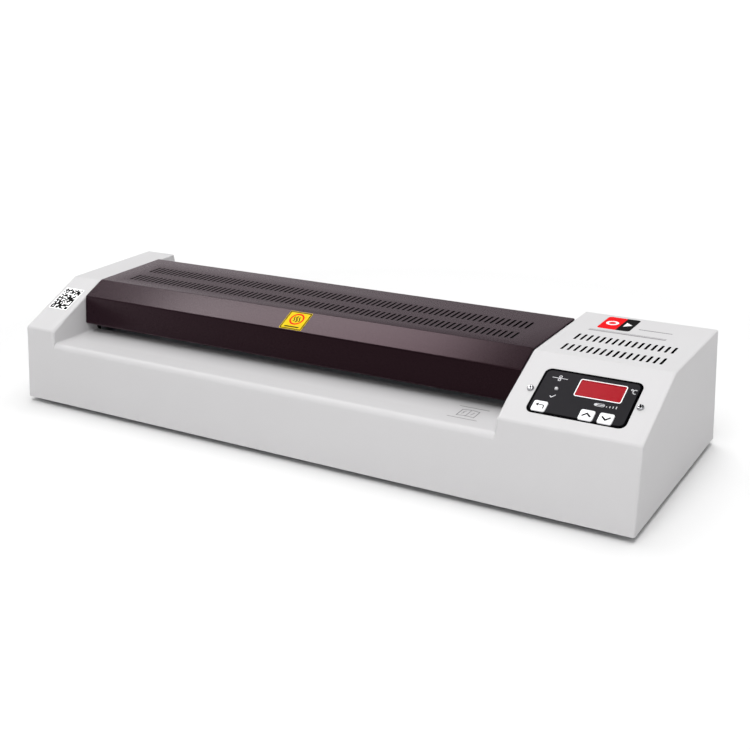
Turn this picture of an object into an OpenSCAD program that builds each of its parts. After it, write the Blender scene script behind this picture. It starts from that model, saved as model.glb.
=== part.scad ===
// Wide-format pouch laminator with four rollers.
// X runs left to right, -Y is the feed side, +Z is up.
// The origin is on the table, under the middle of the casing.

/* [Casing] */
// Width of the throat between the two end housings
throat_w = 498.6; // [494:0.2:504]
// Width of the left end housing
cap_w = 38.1; // [36:0.1:42]
// Width of the right control housing
housing_w = 123.3; // [122:0.1:128]
// Front-to-back depth of the casing at its base
base_d = 216; // [215:1:220]
// Height of the casing above its bottom edge
case_h = 108.4; // [108:0.1:110]
// Height of the front edge, where the sloped control face starts
front_h = 73.6; // [73:0.1:74.5]
// Wall thickness of the moulded casing
wall = 2.5; // [2.2:0.1:2.8]
// Lowest height of the feed tray above the casing's bottom edge
tray_h = 58; // [57.6:0.1:58.2]

/* [Top cover] */
// Sheet thickness of the folded top cover
sheet_t = 1.2; // [1:0.1:1.5]
// Gap between the cover's end and each end housing
cover_gap = 0.6; // [0.4:0.1:1]
// Number of vent slots in each row of the cover
cover_slots = 78; // [60:1:80]
// Spacing of the vent slots
slot_pitch = 5.73; // [5.6:0.01:5.75]
// Width of a vent slot
slot_w = 2.3; // [1.8:0.1:2.6]

/* [Rollers] */
// Outside diameter of a roller's silicone sleeve
roller_d = 29.7; // [29.4:0.05:29.8]
// Length of the silicone sleeve, the widest pouch it takes
roller_l = 462; // [450:1:466]
// Diameter of a roller's steel core
core_d = 24; // [20:0.5:25]
// Diameter of the journals at the roller's ends
journal_d = 10; // [9:0.5:10]
// Radial clearance of a journal in its bushing
run_gap = 0.05; // [0.02:0.01:0.1]

/* [Drive] */
// Teeth on each roller gear, module 1
roller_teeth = 30; // [30:1:30]
// Teeth on the idler gear
idler_teeth = 16; // [16:1:16]
// Teeth on the motor pinion
pinion_teeth = 14; // [14:1:14]
// Thickness taken off each tooth for backlash
backlash = 0.14; // [0.1:0.01:0.2]

/* [Feet and controls] */
// Height of the rubber feet below the casing's bottom edge
foot_h = 6; // [5:0.5:8]
// Diameter of a rubber foot
foot_d = 22; // [18:0.5:24]
// Height that a push button stands above the control overlay
button_rise = 0.8; // [0.7:0.1:1.2]

/* [Hidden] */
$fn = 48;

// Across the width
body_w = cap_w + throat_w + housing_w;
x_left = -body_w / 2;
x_right = body_w / 2;
x_cap = x_left + cap_w;            // inner face of the left end housing
x_house = x_right - housing_w;     // inner face of the control housing
x_mid = (x_cap + x_house) / 2;     // middle of the throat
frame_in = 243;                    // half the distance between the side frames
frame_t = 2.5;
fl0 = x_mid - frame_in - frame_t;  // left frame, outer face
fl1 = x_mid - frame_in;            // left frame, inner face
fr0 = x_mid + frame_in;            // right frame, inner face
fr1 = x_mid + frame_in + frame_t;  // right frame, outer face

// Side profile, heights measured from the casing's bottom edge
yf = -base_d / 2;                  // front of the base
yr = base_d / 2;                   // rear of the base
front_draft = 10;
rear_draft = 12;
y_edge = yf + front_draft;         // where the sloped face starts
y_top_r = yr - rear_draft;         // rear edge of the top
slope_a = 25;
y_knee = y_edge + (case_h - front_h) / tan(slope_a);
function y_front(z) = yf + front_draft * z / front_h;
function y_rear(z) = yr - rear_draft * z / case_h;
rear_a = atan(rear_draft / case_h);

// Rollers
y_hot = -8;
y_cold = 38;
z_low = 45.5;
z_up = 75.5;
nip_lift = 1.2;
shoe_r = 17.3;
gear_x0 = fr1 + 8.6;
gear_x1 = gear_x0 + 8;
pinion_dir = 205;
y_pin = y_hot + (roller_teeth + pinion_teeth) / 2 * cos(pinion_dir);
z_pin = z_low + (roller_teeth + pinion_teeth) / 2 * sin(pinion_dir);
y_idl = (y_hot + y_cold) / 2;

// Control panel, measured from the housing's inner edge and up the slope
panel_x0 = 19.9;
panel_x1 = 103.9;
panel_s0 = 12.8;
panel_s1 = 63.9;
win = [53.6, 39.4, 90.9, 56.0];
led = [36.5, 42];
rev_c = [30.4, 20.2];
up_c = [70.7, 19.5];
dn_c = [86.6, 19.5];
button = [12.1, 11.3];
screw_c = [[15.4, 38], [108.4, 38]];
overlay_n = 0.5;

// ---------- helpers ----------
function unit(v) = v / norm(v);
function arc(c, r, a0, a1, n) = [for (i = [0:n]) let (a = a0 + (a1 - a0) * i / n) c + r * [cos(a), sin(a)]];
// Points that round the corner b between a and c.
function corner(a, b, c, r, n) = let (
    u = unit(a - b), v = unit(c - b), h = acos(max(-1, min(1, u * v))) / 2,
    d = r / tan(h), t0 = b + u * d, t1 = b + v * d, m = b + unit(u + v) * (r / sin(h)),
    a0 = atan2(t0[1] - m[1], t0[0] - m[0]), raw = atan2(t1[1] - m[1], t1[0] - m[0]) - a0,
    turn = raw > 180 ? raw - 360 : raw < -180 ? raw + 360 : raw)
    arc(m, r, a0, a0 + turn, n);
// A closed outline with each corner rounded to its own radius.
function rounded(p, r, n = 6) = let (k = len(p)) [for (i = [0:k - 1])
    each (r[i] > 0 ? corner(p[(i + k - 1) % k], p[i], p[(i + 1) % k], r[i], n) : [p[i]])];
// An open line with its inner corners rounded.
function bent(p, r, n = 6) = [for (i = [0:len(p) - 1])
    each ((i > 0 && i < len(p) - 1 && r > 0) ? corner(p[i - 1], p[i], p[i + 1], r, n) : [p[i]])];
function rnorm(a, b) = let (d = unit(b - a)) [d[1], -d[0]];
// The same open line moved to its right by t.
function beside(p, t) = [for (i = [0:len(p) - 1])
    i == 0 ? p[0] + t * rnorm(p[0], p[1])
    : i == len(p) - 1 ? p[i] + t * rnorm(p[i - 1], p[i])
    : let (m = rnorm(p[i - 1], p[i]), q = rnorm(p[i], p[i + 1])) p[i] + t * (m + q) / (1 + m * q)];
// A closed outline, drawn clockwise, moved inwards by t.
function inset(p, t) = let (k = len(p)) [for (i = [0:k - 1])
    let (m = rnorm(p[(i + k - 1) % k], p[i]), q = rnorm(p[i], p[(i + 1) % k])) p[i] + t * (m + q) / (1 + m * q)];
function rev(p) = [for (i = [len(p) - 1:-1:0]) p[i]];
function sheet(p, t, r) = concat(bent(p, r + t), rev(bent(beside(p, t), r)));
function box2(x0, y0, x1, y1, r = 0, n = 5) = r > 0
    ? rounded([[x0, y0], [x0, y1], [x1, y1], [x1, y0]], [r, r, r, r], n)
    : [[x0, y0], [x0, y1], [x1, y1], [x1, y0]];

module lift() translate([0, 0, foot_h]) children();
module along_x(x0, x1) translate([x0, 0, 0]) rotate([90, 0, 90]) linear_extrude(x1 - x0) children();
module block(x0, x1, y0, y1, z0, z1) translate([x0, y0, z0]) cube([x1 - x0, y1 - y0, z1 - z0]);
module rod(x0, x1, y, z, d) translate([x0, y, z]) rotate([0, 90, 0]) cylinder(d = d, h = x1 - x0);
// Local frame on the sloped control face: x from the housing's inner edge, y up the slope, z outwards.
module on_slope(x0 = x_house) translate([x0, y_edge, front_h]) rotate([slope_a, 0, 0]) children();
// Local frame on the rear face at height z: y up the face, z outwards.
module on_rear(x, z) translate([x, y_rear(z), z]) rotate([rear_a, 0, 0]) rotate([90, 0, 180]) children();
module slots(n, x0, pitch, y0, y1, w, z0, z1)
    for (i = [0:n - 1]) translate([x0 + i * pitch, 0, z0]) linear_extrude(z1 - z0)
        polygon(concat(arc([0, y1 - w / 2], w / 2, 180, 0, 4), arc([0, y0 + w / 2], w / 2, 0, -180, 4)));
module pan_screw(d, head_d, head_h, length) {
    difference() {
        union() {
            cylinder(d1 = head_d, d2 = head_d * 0.62, h = head_h);
            translate([0, 0, -length]) cylinder(d = d, h = length + head_h / 2);
        }
        for (a = [45, 135]) rotate([0, 0, a]) translate([-head_d * 0.27, -head_d * 0.07, head_h * 0.4]) cube([head_d * 0.54, head_d * 0.14, head_h]);
    }
}

// ---------- casing ----------
cap_pts = [[yf - front_draft * 5 / front_h, -5], [y_edge, front_h], [y_knee, case_h], [y_top_r, case_h], [yr + rear_draft * 5 / case_h, -5]];
crest = tray_h + 2.4;
tray_pts = [[yf - front_draft * 5 / front_h, -5], [y_front(crest), crest], [-74, tray_h], [-37, tray_h + 0.6],
    [62, tray_h + 0.6], [80, tray_h], [y_rear(crest), crest], [yr + rear_draft * 5 / case_h, -5]];
tray_r = [0, 6.5, 60, 0, 0, 40, 5, 0];
boss_x = [x_left + 30, x_mid, x_right - 30];
boss_y = yr - 8.5;
// Region above a tray line, closed well clear of the casing
function above(p) = let (k = len(p)) concat([[-150, 140], [-150, p[1][1]]], [for (i = [1:k - 2]) p[i]], [[150, p[k - 2][1]], [150, 140]]);

module main_casing() color("gainsboro") {
    difference() {
        intersection() {
            along_x(x_left - 1, x_right + 1) polygon(rounded(cap_pts, [0, 4, 5, 2.5, 0]));
            linear_extrude(case_h + 10) polygon(box2(x_left, yf - 0.3, x_right, yr + 0.3, 3, 5));
        }
        // throat between the housings, down to the tray
        along_x(x_cap, x_house) polygon(above(rounded(tray_pts, tray_r)));
        // hollow inside the housings and under the tray
        difference() {
            along_x(x_left + wall, x_right - wall) polygon(rounded(inset(cap_pts, wall), [0, 1.5, 2.5, 0, 0], 3));
            along_x(x_cap - wall, x_house + wall) polygon(above(inset(tray_pts, wall)));
        }
        // throat: the tray stops in front of and behind the rollers, and the end walls open under the cover
        block(x_cap, x_house, -36, 61.6, tray_h - 10, tray_h + 10);
        block(x_cap - wall - 1, x_cap + 1, -36, 61.6, tray_h - 10, 101);
        block(x_house - 1, x_house + wall + 1, -36, 61.6, tray_h - 10, 101);
        // vents over the control housing
        slots(16, x_house + 19.9, 5.74, -11.8, 4.0, 2.2, case_h - 5, case_h + 5);
        slots(16, x_house + 19.9, 5.74, 17.3, 33.1, 2.2, case_h - 5, case_h + 5);
        // control face: pocket for the overlay, display aperture, button, LED and screw holes
        on_slope() {
            translate([0, 0, -0.8]) linear_extrude(3) polygon(box2(panel_x0 - 0.1, panel_s0 - 0.1, panel_x1 + 0.1, panel_s1 + 0.1, 6.1));
            translate([win[0] + 1.2, win[1] + 1.2, -5]) cube([win[2] - win[0] - 2.4, win[3] - win[1] - 2.4, 6]);
            for (c = [rev_c, up_c, dn_c]) translate([c[0] - button[0] / 2 - 0.3, c[1] - button[1] / 2 - 0.3, -5]) cube([button[0] + 0.6, button[1] + 0.6, 6]);
            translate([led[0], led[1], -5]) cylinder(d = 3.5, h = 6);
            for (c = screw_c) translate([c[0], c[1], -5]) cylinder(d = 3.2, h = 8);
        }
        // rear face: mains inlet and switch
        on_rear(x_right - 40, 50) translate([-13.6, -9.9, -5]) cube([27.2, 19.8, 8]);
        on_rear(x_right - 84, 50) translate([-9.6, -6.5, -5]) cube([19.2, 13, 8]);
    }
    // posts that hold the display board
    on_slope() for (c = screw_c) difference() {
        translate([c[0], c[1], -10.4]) cylinder(d = 7, h = 8.4);
        translate([c[0], c[1], -11]) cylinder(d = 3.2, h = 12);
    }
    // screw bosses for the bottom pan
    for (x = boss_x, s = [-1, 1]) difference() {
        block(x - 4.5, x + 4.5, s > 0 ? boss_y - 4.5 : -104.2, s > 0 ? 104.2 : 4.5 - boss_y, wall, wall + 20);
        translate([x, s * boss_y, wall - 1]) cylinder(d = 3, h = 16);
    }
}

cover_line = [[-44.5, 68.5], [-52.3, 68.5], [-47.7, 97.8], [-22.4, 109.3], [69.7, 109.3], [74.5, 68.5], [66.7, 68.5]];
module on_cover_rear(x, h) translate([x, 74.5 - 4.8 * h / 40.8, 68.5 + h]) rotate([atan(4.8 / 40.8), 0, 0]) rotate([90, 0, 180]) children();
module top_cover() color("#5b4a4e") difference() {
    along_x(x_cap + cover_gap, x_house - cover_gap) polygon(sheet(cover_line, sheet_t, 1.2));
    slots(cover_slots, x_mid - (cover_slots - 1) * slot_pitch / 2, slot_pitch, -8.3, 9.7, slot_w, 106, 112);
    slots(cover_slots, x_mid - (cover_slots - 1) * slot_pitch / 2, slot_pitch, 21.9, 40.9, slot_w, 106, 112);
    for (x = [fl1 + 8, fr0 - 8], h = [12, 28]) on_cover_rear(x, h) translate([0, 0, -4]) cylinder(d = 3.4, h = 8);
}

pan_slots_x = x_mid - 24 * 8;
module bottom_pan() color("silver") difference() {
    union() {
        translate([0, 0, 1]) linear_extrude(1.5) polygon(box2(x_left + wall + 0.8, yf + wall + 1.2, x_right - wall - 0.8, yr - wall - 1.2, 5, 4));
        // stiffening ribs along the pan
        for (y = [-78, 78]) block(x_left + 12, x_right - 12, y - 1, y + 1, 2.5, 6.5);
    }
    for (x = boss_x, s = [-1, 1]) translate([x, s * boss_y, 0]) cylinder(d = 3.6, h = 5);
    for (x = [x_left + 34, x_right - 34], y = [-62, 62]) translate([x, y, 0]) cylinder(d = 4.2, h = 5);
    for (x = [fl1 + 8, fr0 - 8], y = [-20, 45]) translate([x, y, 0]) cylinder(d = 4.2, h = 5);
    for (y = [-50, -6]) translate([fr1 + 14, y, 0]) cylinder(d = 4.2, h = 5);
    slots(49, pan_slots_x, 8, -30, -6, 3, 0, 4);
    slots(49, pan_slots_x, 8, 20, 44, 3, 0, 4);
}

// ---------- frame ----------
module frame_plate(x0, x1, s) difference() {
    union() {
        along_x(x0, x1) polygon([[-34.5, 2.5], [-34.5, 90], [-20, 104], [58, 104], [60, 102], [60, 2.5]]);
        // foot turned inwards
        block(s > 0 ? x1 : x0 - 16, s > 0 ? x1 + 16 : x0, -34.5, 60, 2.5, 4.5);
        // tab turned inwards for the cover's screws
        along_x(x0, x1) polygon([[59, 76], [59, 102], [68.2, 102], [71.2, 76]]);
        on_cover_rear(0, 0) translate([s > 0 ? -x1 - 15 : -x0, 8, -sheet_t - 2.2]) cube([15, 25, 2]);
    }
    for (y = [y_hot, y_cold]) {
        rod(x0 - 1, x1 + 1, y, z_low, 16);
        block(x0 - 1, x1 + 1, y - 9.15, y + 9.15, z_up - 8.7, 100.5);
    }
    for (p = [[-28, 14], [52, 14], [22, 94]]) rod(x0 - 1, x1 + 1, p[0], p[1], 4.2);
    for (y = [-20, 45]) translate([s > 0 ? x1 + 8 : x0 - 8, y, 0]) cylinder(d = 4.2, h = 8);
    for (h = [12, 28]) on_cover_rear(s > 0 ? x1 + 8 : x0 - 8, h) translate([0, 0, -6]) cylinder(d = 2.6, h = 8);
}
module left_side_frame() color("silver") frame_plate(fl0, fl1, 1);
module right_side_frame() color("silver") difference() {
    frame_plate(fr0, fr1, -1);
    rod(fr0 - 1, fr1 + 1, y_idl, z_low, 6);
    translate([fr0 - 1, 6, 12]) cube([4.5, 20, 10]);
}
module tie_bars() color("lightgray") for (p = [[-28, 14], [52, 14], [22, 94]]) difference() {
    rod(fl1, fr0, p[0], p[1], 8);
    for (x = [fl1 - 1, fr0 - 12]) rod(x, x + 13, p[0], p[1], 3.4);
}

// ---------- heating ----------
module lower_heat_shoe() color("#b9bcc0") difference() {
    along_x(fl1, fr0) polygon([[-28.5, 25], [-28.5, 56], [-35, 57], [-35, 58.2], [-29.5, 58.9], [12.5, 58.9], [12.5, 25]]);
    rod(fl1 - 1, fr0 + 1, y_hot, z_low, 2 * shoe_r);
    for (x = [fl1 - 1, fr0 - 10]) for (p = [[-24, 29], [9, 29]]) rod(x, x + 11, p[0], p[1], 3);
}
module upper_heat_shoe() color("#b9bcc0") difference() {
    union() {
        along_x(fl1 + 6, fr0 - 6) polygon([[-28.5, 96], [-28.5, 66], [-24.5, 62.2], [12.5, 62.2], [12.5, 96]]);
        // ears that reach the side frames
        block(fl1, fr0, -28.5, -26, 68, 90);
        block(fl1, fr0, 10, 12.5, 64, 90);
    }
    rod(fl1 - 1, fr0 + 1, y_hot, z_up, 2 * shoe_r);
}
module mica_heaters() color("#c9b27a") {
    block(x_mid - 225, x_mid + 225, -24, 8, 96, 97.4);
    block(x_mid - 225, x_mid + 225, -24, 8, 23.6, 25);
}
// Thermal cut-out on the upper shoe and temperature probe on the lower one
module heat_sensors() color("#e8e2d0") {
    translate([x_mid + 60, 12.5, 84]) rotate([-90, 0, 0]) cylinder(d = 15, h = 5.5);
    rod(x_mid + 140, x_mid + 168, 14.5, 50, 4);
    block(x_mid + 146, x_mid + 154, 12.5, 13.5, 38, 49);
}
module heat_shield() color("#c8cacc") difference() {
    along_x(fl1 + 8, fr0 - 8) polygon(sheet([[-32, 90], [-32, 99], [56, 99], [56, 92]], 1, 1));
    slots(40, x_mid - 19.5 * 10, 10, -10, 14, 4, 97, 101);
}
module guide_plate(y0, y1, z0, z1, tab_z0, tab_z1) {
    block(fl1, fr0, y0, y1, z0, z1);
    for (x = [fl1, fr0 - 1]) block(x, x + 1, y0, y0 + 8, tab_z0, tab_z1);
}
module lower_pouch_guide() color("#d5d7d9") guide_plate(13, 29.5, 58.3, 59.3, 47, 59.3);
module upper_pouch_guide() color("#d5d7d9") guide_plate(13, 26.5, 62.2, 63.2, 62.2, 72);
module exit_guide() color("#d5d7d9") guide_plate(48.5, 61.2, 57.5, 58.5, 40, 58.5);

// ---------- bearings and springs ----------
module lower_bushings() color("#b5854a") for (y = [y_hot, y_cold]) {
    for (q = [[fl0 - 3, fl1 + 0.0, fl1 + 2], [fr1 + 3, fr0 - 0.0, fr0 - 2]]) difference() {
        union() {
            rod(min(q[0], q[1]), max(q[0], q[1]), y, z_low, 16);
            rod(min(q[1], q[2]), max(q[1], q[2]), y, z_low, 20);
        }
        rod(fl0 - 10, fr1 + 10, y, z_low, journal_d + 2 * run_gap);
    }
}
// Bearing blocks of the upper rollers, free to slide up in the frames' slots
module bearing_pair(y) color("#2f3133") for (q = [[fl0 - 3, fl1, 1], [fr0, fr1 + 3, -1]]) difference() {
    union() {
        block(q[2] > 0 ? q[0] : q[0] - 2.4, q[2] > 0 ? q[1] + 2.4 : q[1], y - 9, y + 9, z_up - 8.5, z_up + 8.5);
        block(q[2] > 0 ? fl1 + 0.2 : fr0 - 2.4, q[2] > 0 ? fl1 + 2.4 : fr0 - 0.2, y - 12, y + 12, z_up - 8.5, z_up + 8.5);
    }
    rod(q[0] - 8, q[1] + 8, y, z_up, journal_d + 2 * run_gap);
}
module front_bearing_blocks() bearing_pair(y_hot);
module rear_bearing_blocks() bearing_pair(y_cold);
function helix(c, r, z0, z1, turns, k) = [for (i = [0:k]) let (a = 360 * turns * i / k) [c[0] + r * cos(a), c[1] + r * sin(a), z0 + (z1 - z0) * i / k]];
// A round tube swept along a list of points.
module wire(p, d, n = 6) {
    k = len(p);
    t = [for (i = [0:k - 1]) unit(p[min(i + 1, k - 1)] - p[max(i - 1, 0)])];
    ring = [for (i = [0:k - 1]) let (u = unit(cross(t[i], [0.21, 0.34, 0.92])), v = cross(t[i], u))
        each [for (j = [0:n - 1]) p[i] + d / 2 * (cos(360 * j / n) * u + sin(360 * j / n) * v)]];
    polyhedron(ring, concat(
        [for (i = [0:k - 2], j = [0:n - 1]) [i * n + j, i * n + (j + 1) % n, (i + 1) * n + j]],
        [for (i = [0:k - 2], j = [0:n - 1]) [i * n + (j + 1) % n, (i + 1) * n + (j + 1) % n, (i + 1) * n + j]],
        [for (j = [1:n - 2]) [0, j + 1, j]],
        [for (j = [1:n - 2]) [(k - 1) * n, (k - 1) * n + j, (k - 1) * n + j + 1]]));
}
module springs(y) color("#8e9196") for (x = [(fl0 + fl1) / 2, (fr0 + fr1) / 2])
    wire(helix([x, y], 4.2, z_up + 9.2, 98.2, 4.5, 54), 1.2, 6);
module front_pressure_springs() springs(y_hot);
module rear_pressure_springs() springs(y_cold);
module spring_keepers() color("silver") for (x = [(fl0 + fl1) / 2, (fr0 + fr1) / 2], y = [y_hot, y_cold])
    block(x - 6.5, x + 6.5, y - 6.5, y + 6.5, 99, 100.5);

// ---------- rollers ----------
module core(y, z) color("lightgray") difference() {
    union() {
        rod(x_mid - roller_l / 2, x_mid + roller_l / 2, y, z, core_d);
        rod(fl0 - 4, gear_x1 + 1.5, y, z, journal_d);
    }
    for (x = [fl0 - 5, gear_x1 - 4.5]) rod(x, x + 7, y, z, 4);
}
module sleeve(y, z, c) color(c) difference() {
    rod(x_mid - roller_l / 2, x_mid + roller_l / 2, y, z, roller_d);
    rod(x_mid - roller_l, x_mid + roller_l, y, z, core_d);
}
// Involute teeth of module 1 and 20 degrees.
function inv(a) = tan(a) * 180 / PI - a;
function gear_pts(n, phase) = let (
    r = n / 2, rb = r * cos(20), ra = r + 0.92, rf = r - 1.22, r0 = max(rb, rf) + 0.001,
    half = 90 / n - (backlash / 2) / r * 180 / PI / 1,
    w = function (q) half + inv(20) - inv(acos(rb / q)),
    q = [for (i = [0:4]) r0 + (ra - r0) * i / 4])
    [for (k = [0:n - 1]) let (c = phase + 360 * k / n) each concat(
        [rf * [cos(c - w(r0)), sin(c - w(r0))]],
        [for (x = q) x * [cos(c - w(x)), sin(c - w(x))]],
        [for (i = [4:-1:0]) q[i] * [cos(c + w(q[i])), sin(c + w(q[i]))]],
        [rf * [cos(c + w(r0)), sin(c + w(r0))]])];
// Phase that puts gear 2 in mesh with gear 1, seen along direction a.
function mesh(n1, phase1, n2, a) = a + 180 + (n1 * (a - phase1) - 180) / n2;
p_lh = 0;
p_uh = mesh(roller_teeth, p_lh, roller_teeth, 90);
p_id = mesh(roller_teeth, p_lh, idler_teeth, 0);
p_lc = mesh(idler_teeth, p_id, roller_teeth, 0);
p_uc = mesh(roller_teeth, p_lc, roller_teeth, 90);
p_pn = mesh(roller_teeth, p_lh, pinion_teeth, pinion_dir);
module gear(n, phase, y, z, bore, c) color(c) difference() {
    translate([0, y, z]) along_x(gear_x0, gear_x1) polygon(gear_pts(n, phase));
    rod(gear_x0 - 1, gear_x1 + 1, y, z, bore);
}
module idler_shaft() color("lightgray") {
    rod(fr0, gear_x1 + 2.4, y_idl, z_low, 6);
    rod(fr1, gear_x0 - 0.3, y_idl, z_low, 9);
    difference() {
        rod(gear_x1 + 0.3, gear_x1 + 1.3, y_idl, z_low, 9);
        rod(gear_x1, gear_x1 + 2, y_idl, z_low, 6);
    }
}

// ---------- drive ----------
mot_x0 = gear_x1 + 8.5;
module motor_bracket() color("silver") difference() {
    union() {
        along_x(mot_x0 - 2.5, mot_x0) polygon([[y_pin - 33, 2.5], [y_pin - 33, 60], [y_pin - 26, 68], [y_pin + 26, 68], [y_pin + 33, 60], [y_pin + 33, 2.5]]);
        block(fr1 + 6, mot_x0 - 2.5, y_pin - 33, y_pin + 33, 2.5, 4.5);
    }
    rod(mot_x0 - 4, mot_x0 + 1, y_pin, z_pin, 14);
    for (a = [45, 135, 225, 315]) rod(mot_x0 - 4, mot_x0 + 1, y_pin + 25 * cos(a), z_pin + 25 * sin(a), 4.2);
    for (y = [-50, -6]) translate([fr1 + 14, y, 0]) cylinder(d = 4.2, h = 8);
}
module gear_motor() color("#9a9da0") difference() {
    union() {
        rod(mot_x0, mot_x0 + 22, y_pin, z_pin, 60);
        rod(mot_x0 + 22, mot_x0 + 54, y_pin, z_pin, 56);
        rod(mot_x0 - 3.5, mot_x0, y_pin, z_pin, 13.6);
        block(mot_x0 + 30, mot_x0 + 48, y_pin - 8, y_pin + 8, z_pin + 25, z_pin + 31);
    }
    rod(mot_x0 - 5, mot_x0 + 16, y_pin, z_pin, 7 + 2 * run_gap);
    for (a = [45, 135, 225, 315]) rod(mot_x0 - 1, mot_x0 + 9, y_pin + 25 * cos(a), z_pin + 25 * sin(a), 4);
}
module motor_pinion() color("#d9c9a0") union() {
    difference() {
        translate([0, y_pin, z_pin]) along_x(gear_x0, gear_x1) polygon(gear_pts(pinion_teeth, p_pn));
        rod(gear_x0 - 1, gear_x1 + 1, y_pin, z_pin, 7);
    }
    rod(gear_x0 - 1, mot_x0 + 14, y_pin, z_pin, 7);
}

// ---------- electronics ----------
pb = [x_right - 92, 20, x_right - 8, 92];
module power_board() color("#1f5a38") {
    difference() {
        block(pb[0], pb[2], pb[1], pb[3], 12, 13.6);
        for (x = [pb[0] + 5, pb[2] - 5], y = [pb[1] + 5, pb[3] - 5]) translate([x, y, 10]) cylinder(d = 3, h = 6);
    }
    for (x = [pb[0] + 5, pb[2] - 5], y = [pb[1] + 5, pb[3] - 5]) difference() {
        translate([x, y, 2.5]) cylinder(d = 6.5, h = 9.5);
        translate([x, y, 5]) cylinder(d = 3, h = 8);
    }
}
// Everything soldered to the power board
module board_components() {
    color("#3a3a3c") {
        block(pb[0] + 8, pb[0] + 44, pb[1] + 20, pb[1] + 38, 13.6, 38);
        block(pb[0] + 15, pb[0] + 37, pb[1] + 14, pb[1] + 44, 13.6, 33);
    }
    color("royalblue") for (x = [52, 66]) block(pb[0] + x, pb[0] + x + 11, pb[1] + 8, pb[1] + 28, 13.6, 29);
    color("#22262b") for (p = [[55, 40, 6], [70, 42, 8], [56, 58, 5]]) translate([pb[0] + p[0], pb[1] + p[1], 13.6]) cylinder(r = p[2] * 0.85, h = 3 * p[2]);
    color("#2e8b57") block(pb[0] + 14, pb[0] + 44, pb[3] - 20, pb[3] - 10, 13.6, 24);
    color("#b0b3b6") difference() {
        block(pb[0] + 46, pb[0] + 49, pb[1] + 6, pb[1] + 34, 13.6, 36);
        translate([pb[0] + 45, pb[1] + 12, 24]) cube([5, 16, 8]);
    }
    color("#f2f0e6") block(pb[0] + 66, pb[0] + 74, pb[3] - 20, pb[3] - 8, 13.6, 22);
}
module display_board() color("#1f5a38") on_slope() difference() {
    translate([10, 9, -12]) cube([104, 57, 1.6]);
    for (c = screw_c) translate([c[0], c[1], -13]) cylinder(d = 3.2, h = 4);
}
module digit_display() color("#2b1012") on_slope() {
    translate([win[0] + 0.2, win[1] + 0.2, -10.4]) cube([win[2] - win[0] - 0.4, win[3] - win[1] - 0.4, 7]);
}
module tact_switches() color("#303236") on_slope() for (c = [rev_c, up_c, dn_c]) {
    translate([c[0] - 3, c[1] - 3, -10.4]) cube([6, 6, 3.2]);
    translate([c[0], c[1], -7.2]) cylinder(d = 3.4, h = 0.8);
}
module ready_led() color("#e9efe9") on_slope() {
    translate([led[0], led[1], -3.4]) cylinder(d = 3.1, h = 4);
    translate([led[0], led[1], 0.6]) intersection() {
        sphere(d = 3.1);
        translate([-2, -2, 0]) cube([4, 4, 2]);
    }
    for (s = [-1, 1]) translate([led[0] + s * 0.9, led[1], -10.4]) cylinder(d = 0.6, h = 7);
}
module panel_overlay() color("#2c2a2e") on_slope() difference() {
    translate([0, 0, -0.8]) linear_extrude(0.8 + overlay_n) polygon(box2(panel_x0, panel_s0, panel_x1, panel_s1, 6));
    translate([win[0], win[1], -2]) cube([win[2] - win[0], win[3] - win[1], 4]);
    for (c = [rev_c, up_c, dn_c]) translate([0, 0, -2]) linear_extrude(4)
        polygon(box2(c[0] - button[0] / 2 - 0.25, c[1] - button[1] / 2 - 0.25, c[0] + button[0] / 2 + 0.25, c[1] + button[1] / 2 + 0.25, 1.8));
    translate([led[0], led[1], -2]) cylinder(d = 3.5, h = 4);
}
module display_window() color([0.75, 0.08, 0.12]) on_slope()
    translate([win[0] + 0.05, win[1] + 0.05, -0.8]) cube([win[2] - win[0] - 0.1, win[3] - win[1] - 0.1, 1.1]);
module panel_screws() color("silver") on_slope() for (c = screw_c) translate([c[0], c[1], 0]) pan_screw(3, 6, 2, 12.5);
module push_button(c) color("whitesmoke") on_slope() {
    translate([0, 0, -4.2]) linear_extrude(4.2 + overlay_n + button_rise)
        polygon(box2(c[0] - button[0] / 2, c[1] - button[1] / 2, c[0] + button[0] / 2, c[1] + button[1] / 2, 1.6));
    translate([c[0] - 7, c[1] - 6.6, -4.2]) cube([14, 13.2, 1.2]);
    translate([c[0], c[1], -5.6]) cylinder(d = 4, h = 2);
}

// ---------- mains inlet and switch ----------
pins = [[-7, -2], [7, -2], [0, 2]];
module inlet_frame() on_rear(x_right - 40, 50) children();
module power_inlet() color("#1d1e20") inlet_frame() difference() {
    union() {
        linear_extrude(2.2) polygon(box2(-15.5, -11.5, 15.5, 11.5, 2, 3));
        translate([-13.4, -9.7, -22]) cube([26.8, 19.4, 22.5]);
    }
    translate([0, 0, -14.5]) linear_extrude(20) polygon([[-12.2, 8.2], [12.2, 8.2], [12.2, -3.2], [7.6, -8.2], [-7.6, -8.2], [-12.2, -3.2]]);
    for (p = pins) translate([p[0] - 1, p[1] - 2, -25]) cube([2, 4, 15]);
}
module inlet_pins() color("#d8b25a") inlet_frame() for (p = pins) {
    translate([p[0] - 1, p[1] - 2, -30]) cube([2, 4, 28]);
}
module switch_frame() on_rear(x_right - 84, 50) children();
rock_z = -1.4;
module switch_housing() color("#1d1e20") switch_frame() difference() {
    union() {
        linear_extrude(1.8) polygon(box2(-10.6, -7.6, 10.6, 7.6, 1, 3));
        translate([-9.4, -6.3, -16]) cube([18.8, 12.6, 16.5]);
        for (x = [-5.5, 4.7]) translate([x, -2.4, -24]) cube([0.8, 4.8, 8.5]);
    }
    translate([-8.6, -5.6, -9]) cube([17.2, 11.2, 14]);
    translate([0, -6.9, rock_z]) rotate([-90, 0, 0]) cylinder(d = 2.1, h = 13.8);
}
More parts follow.
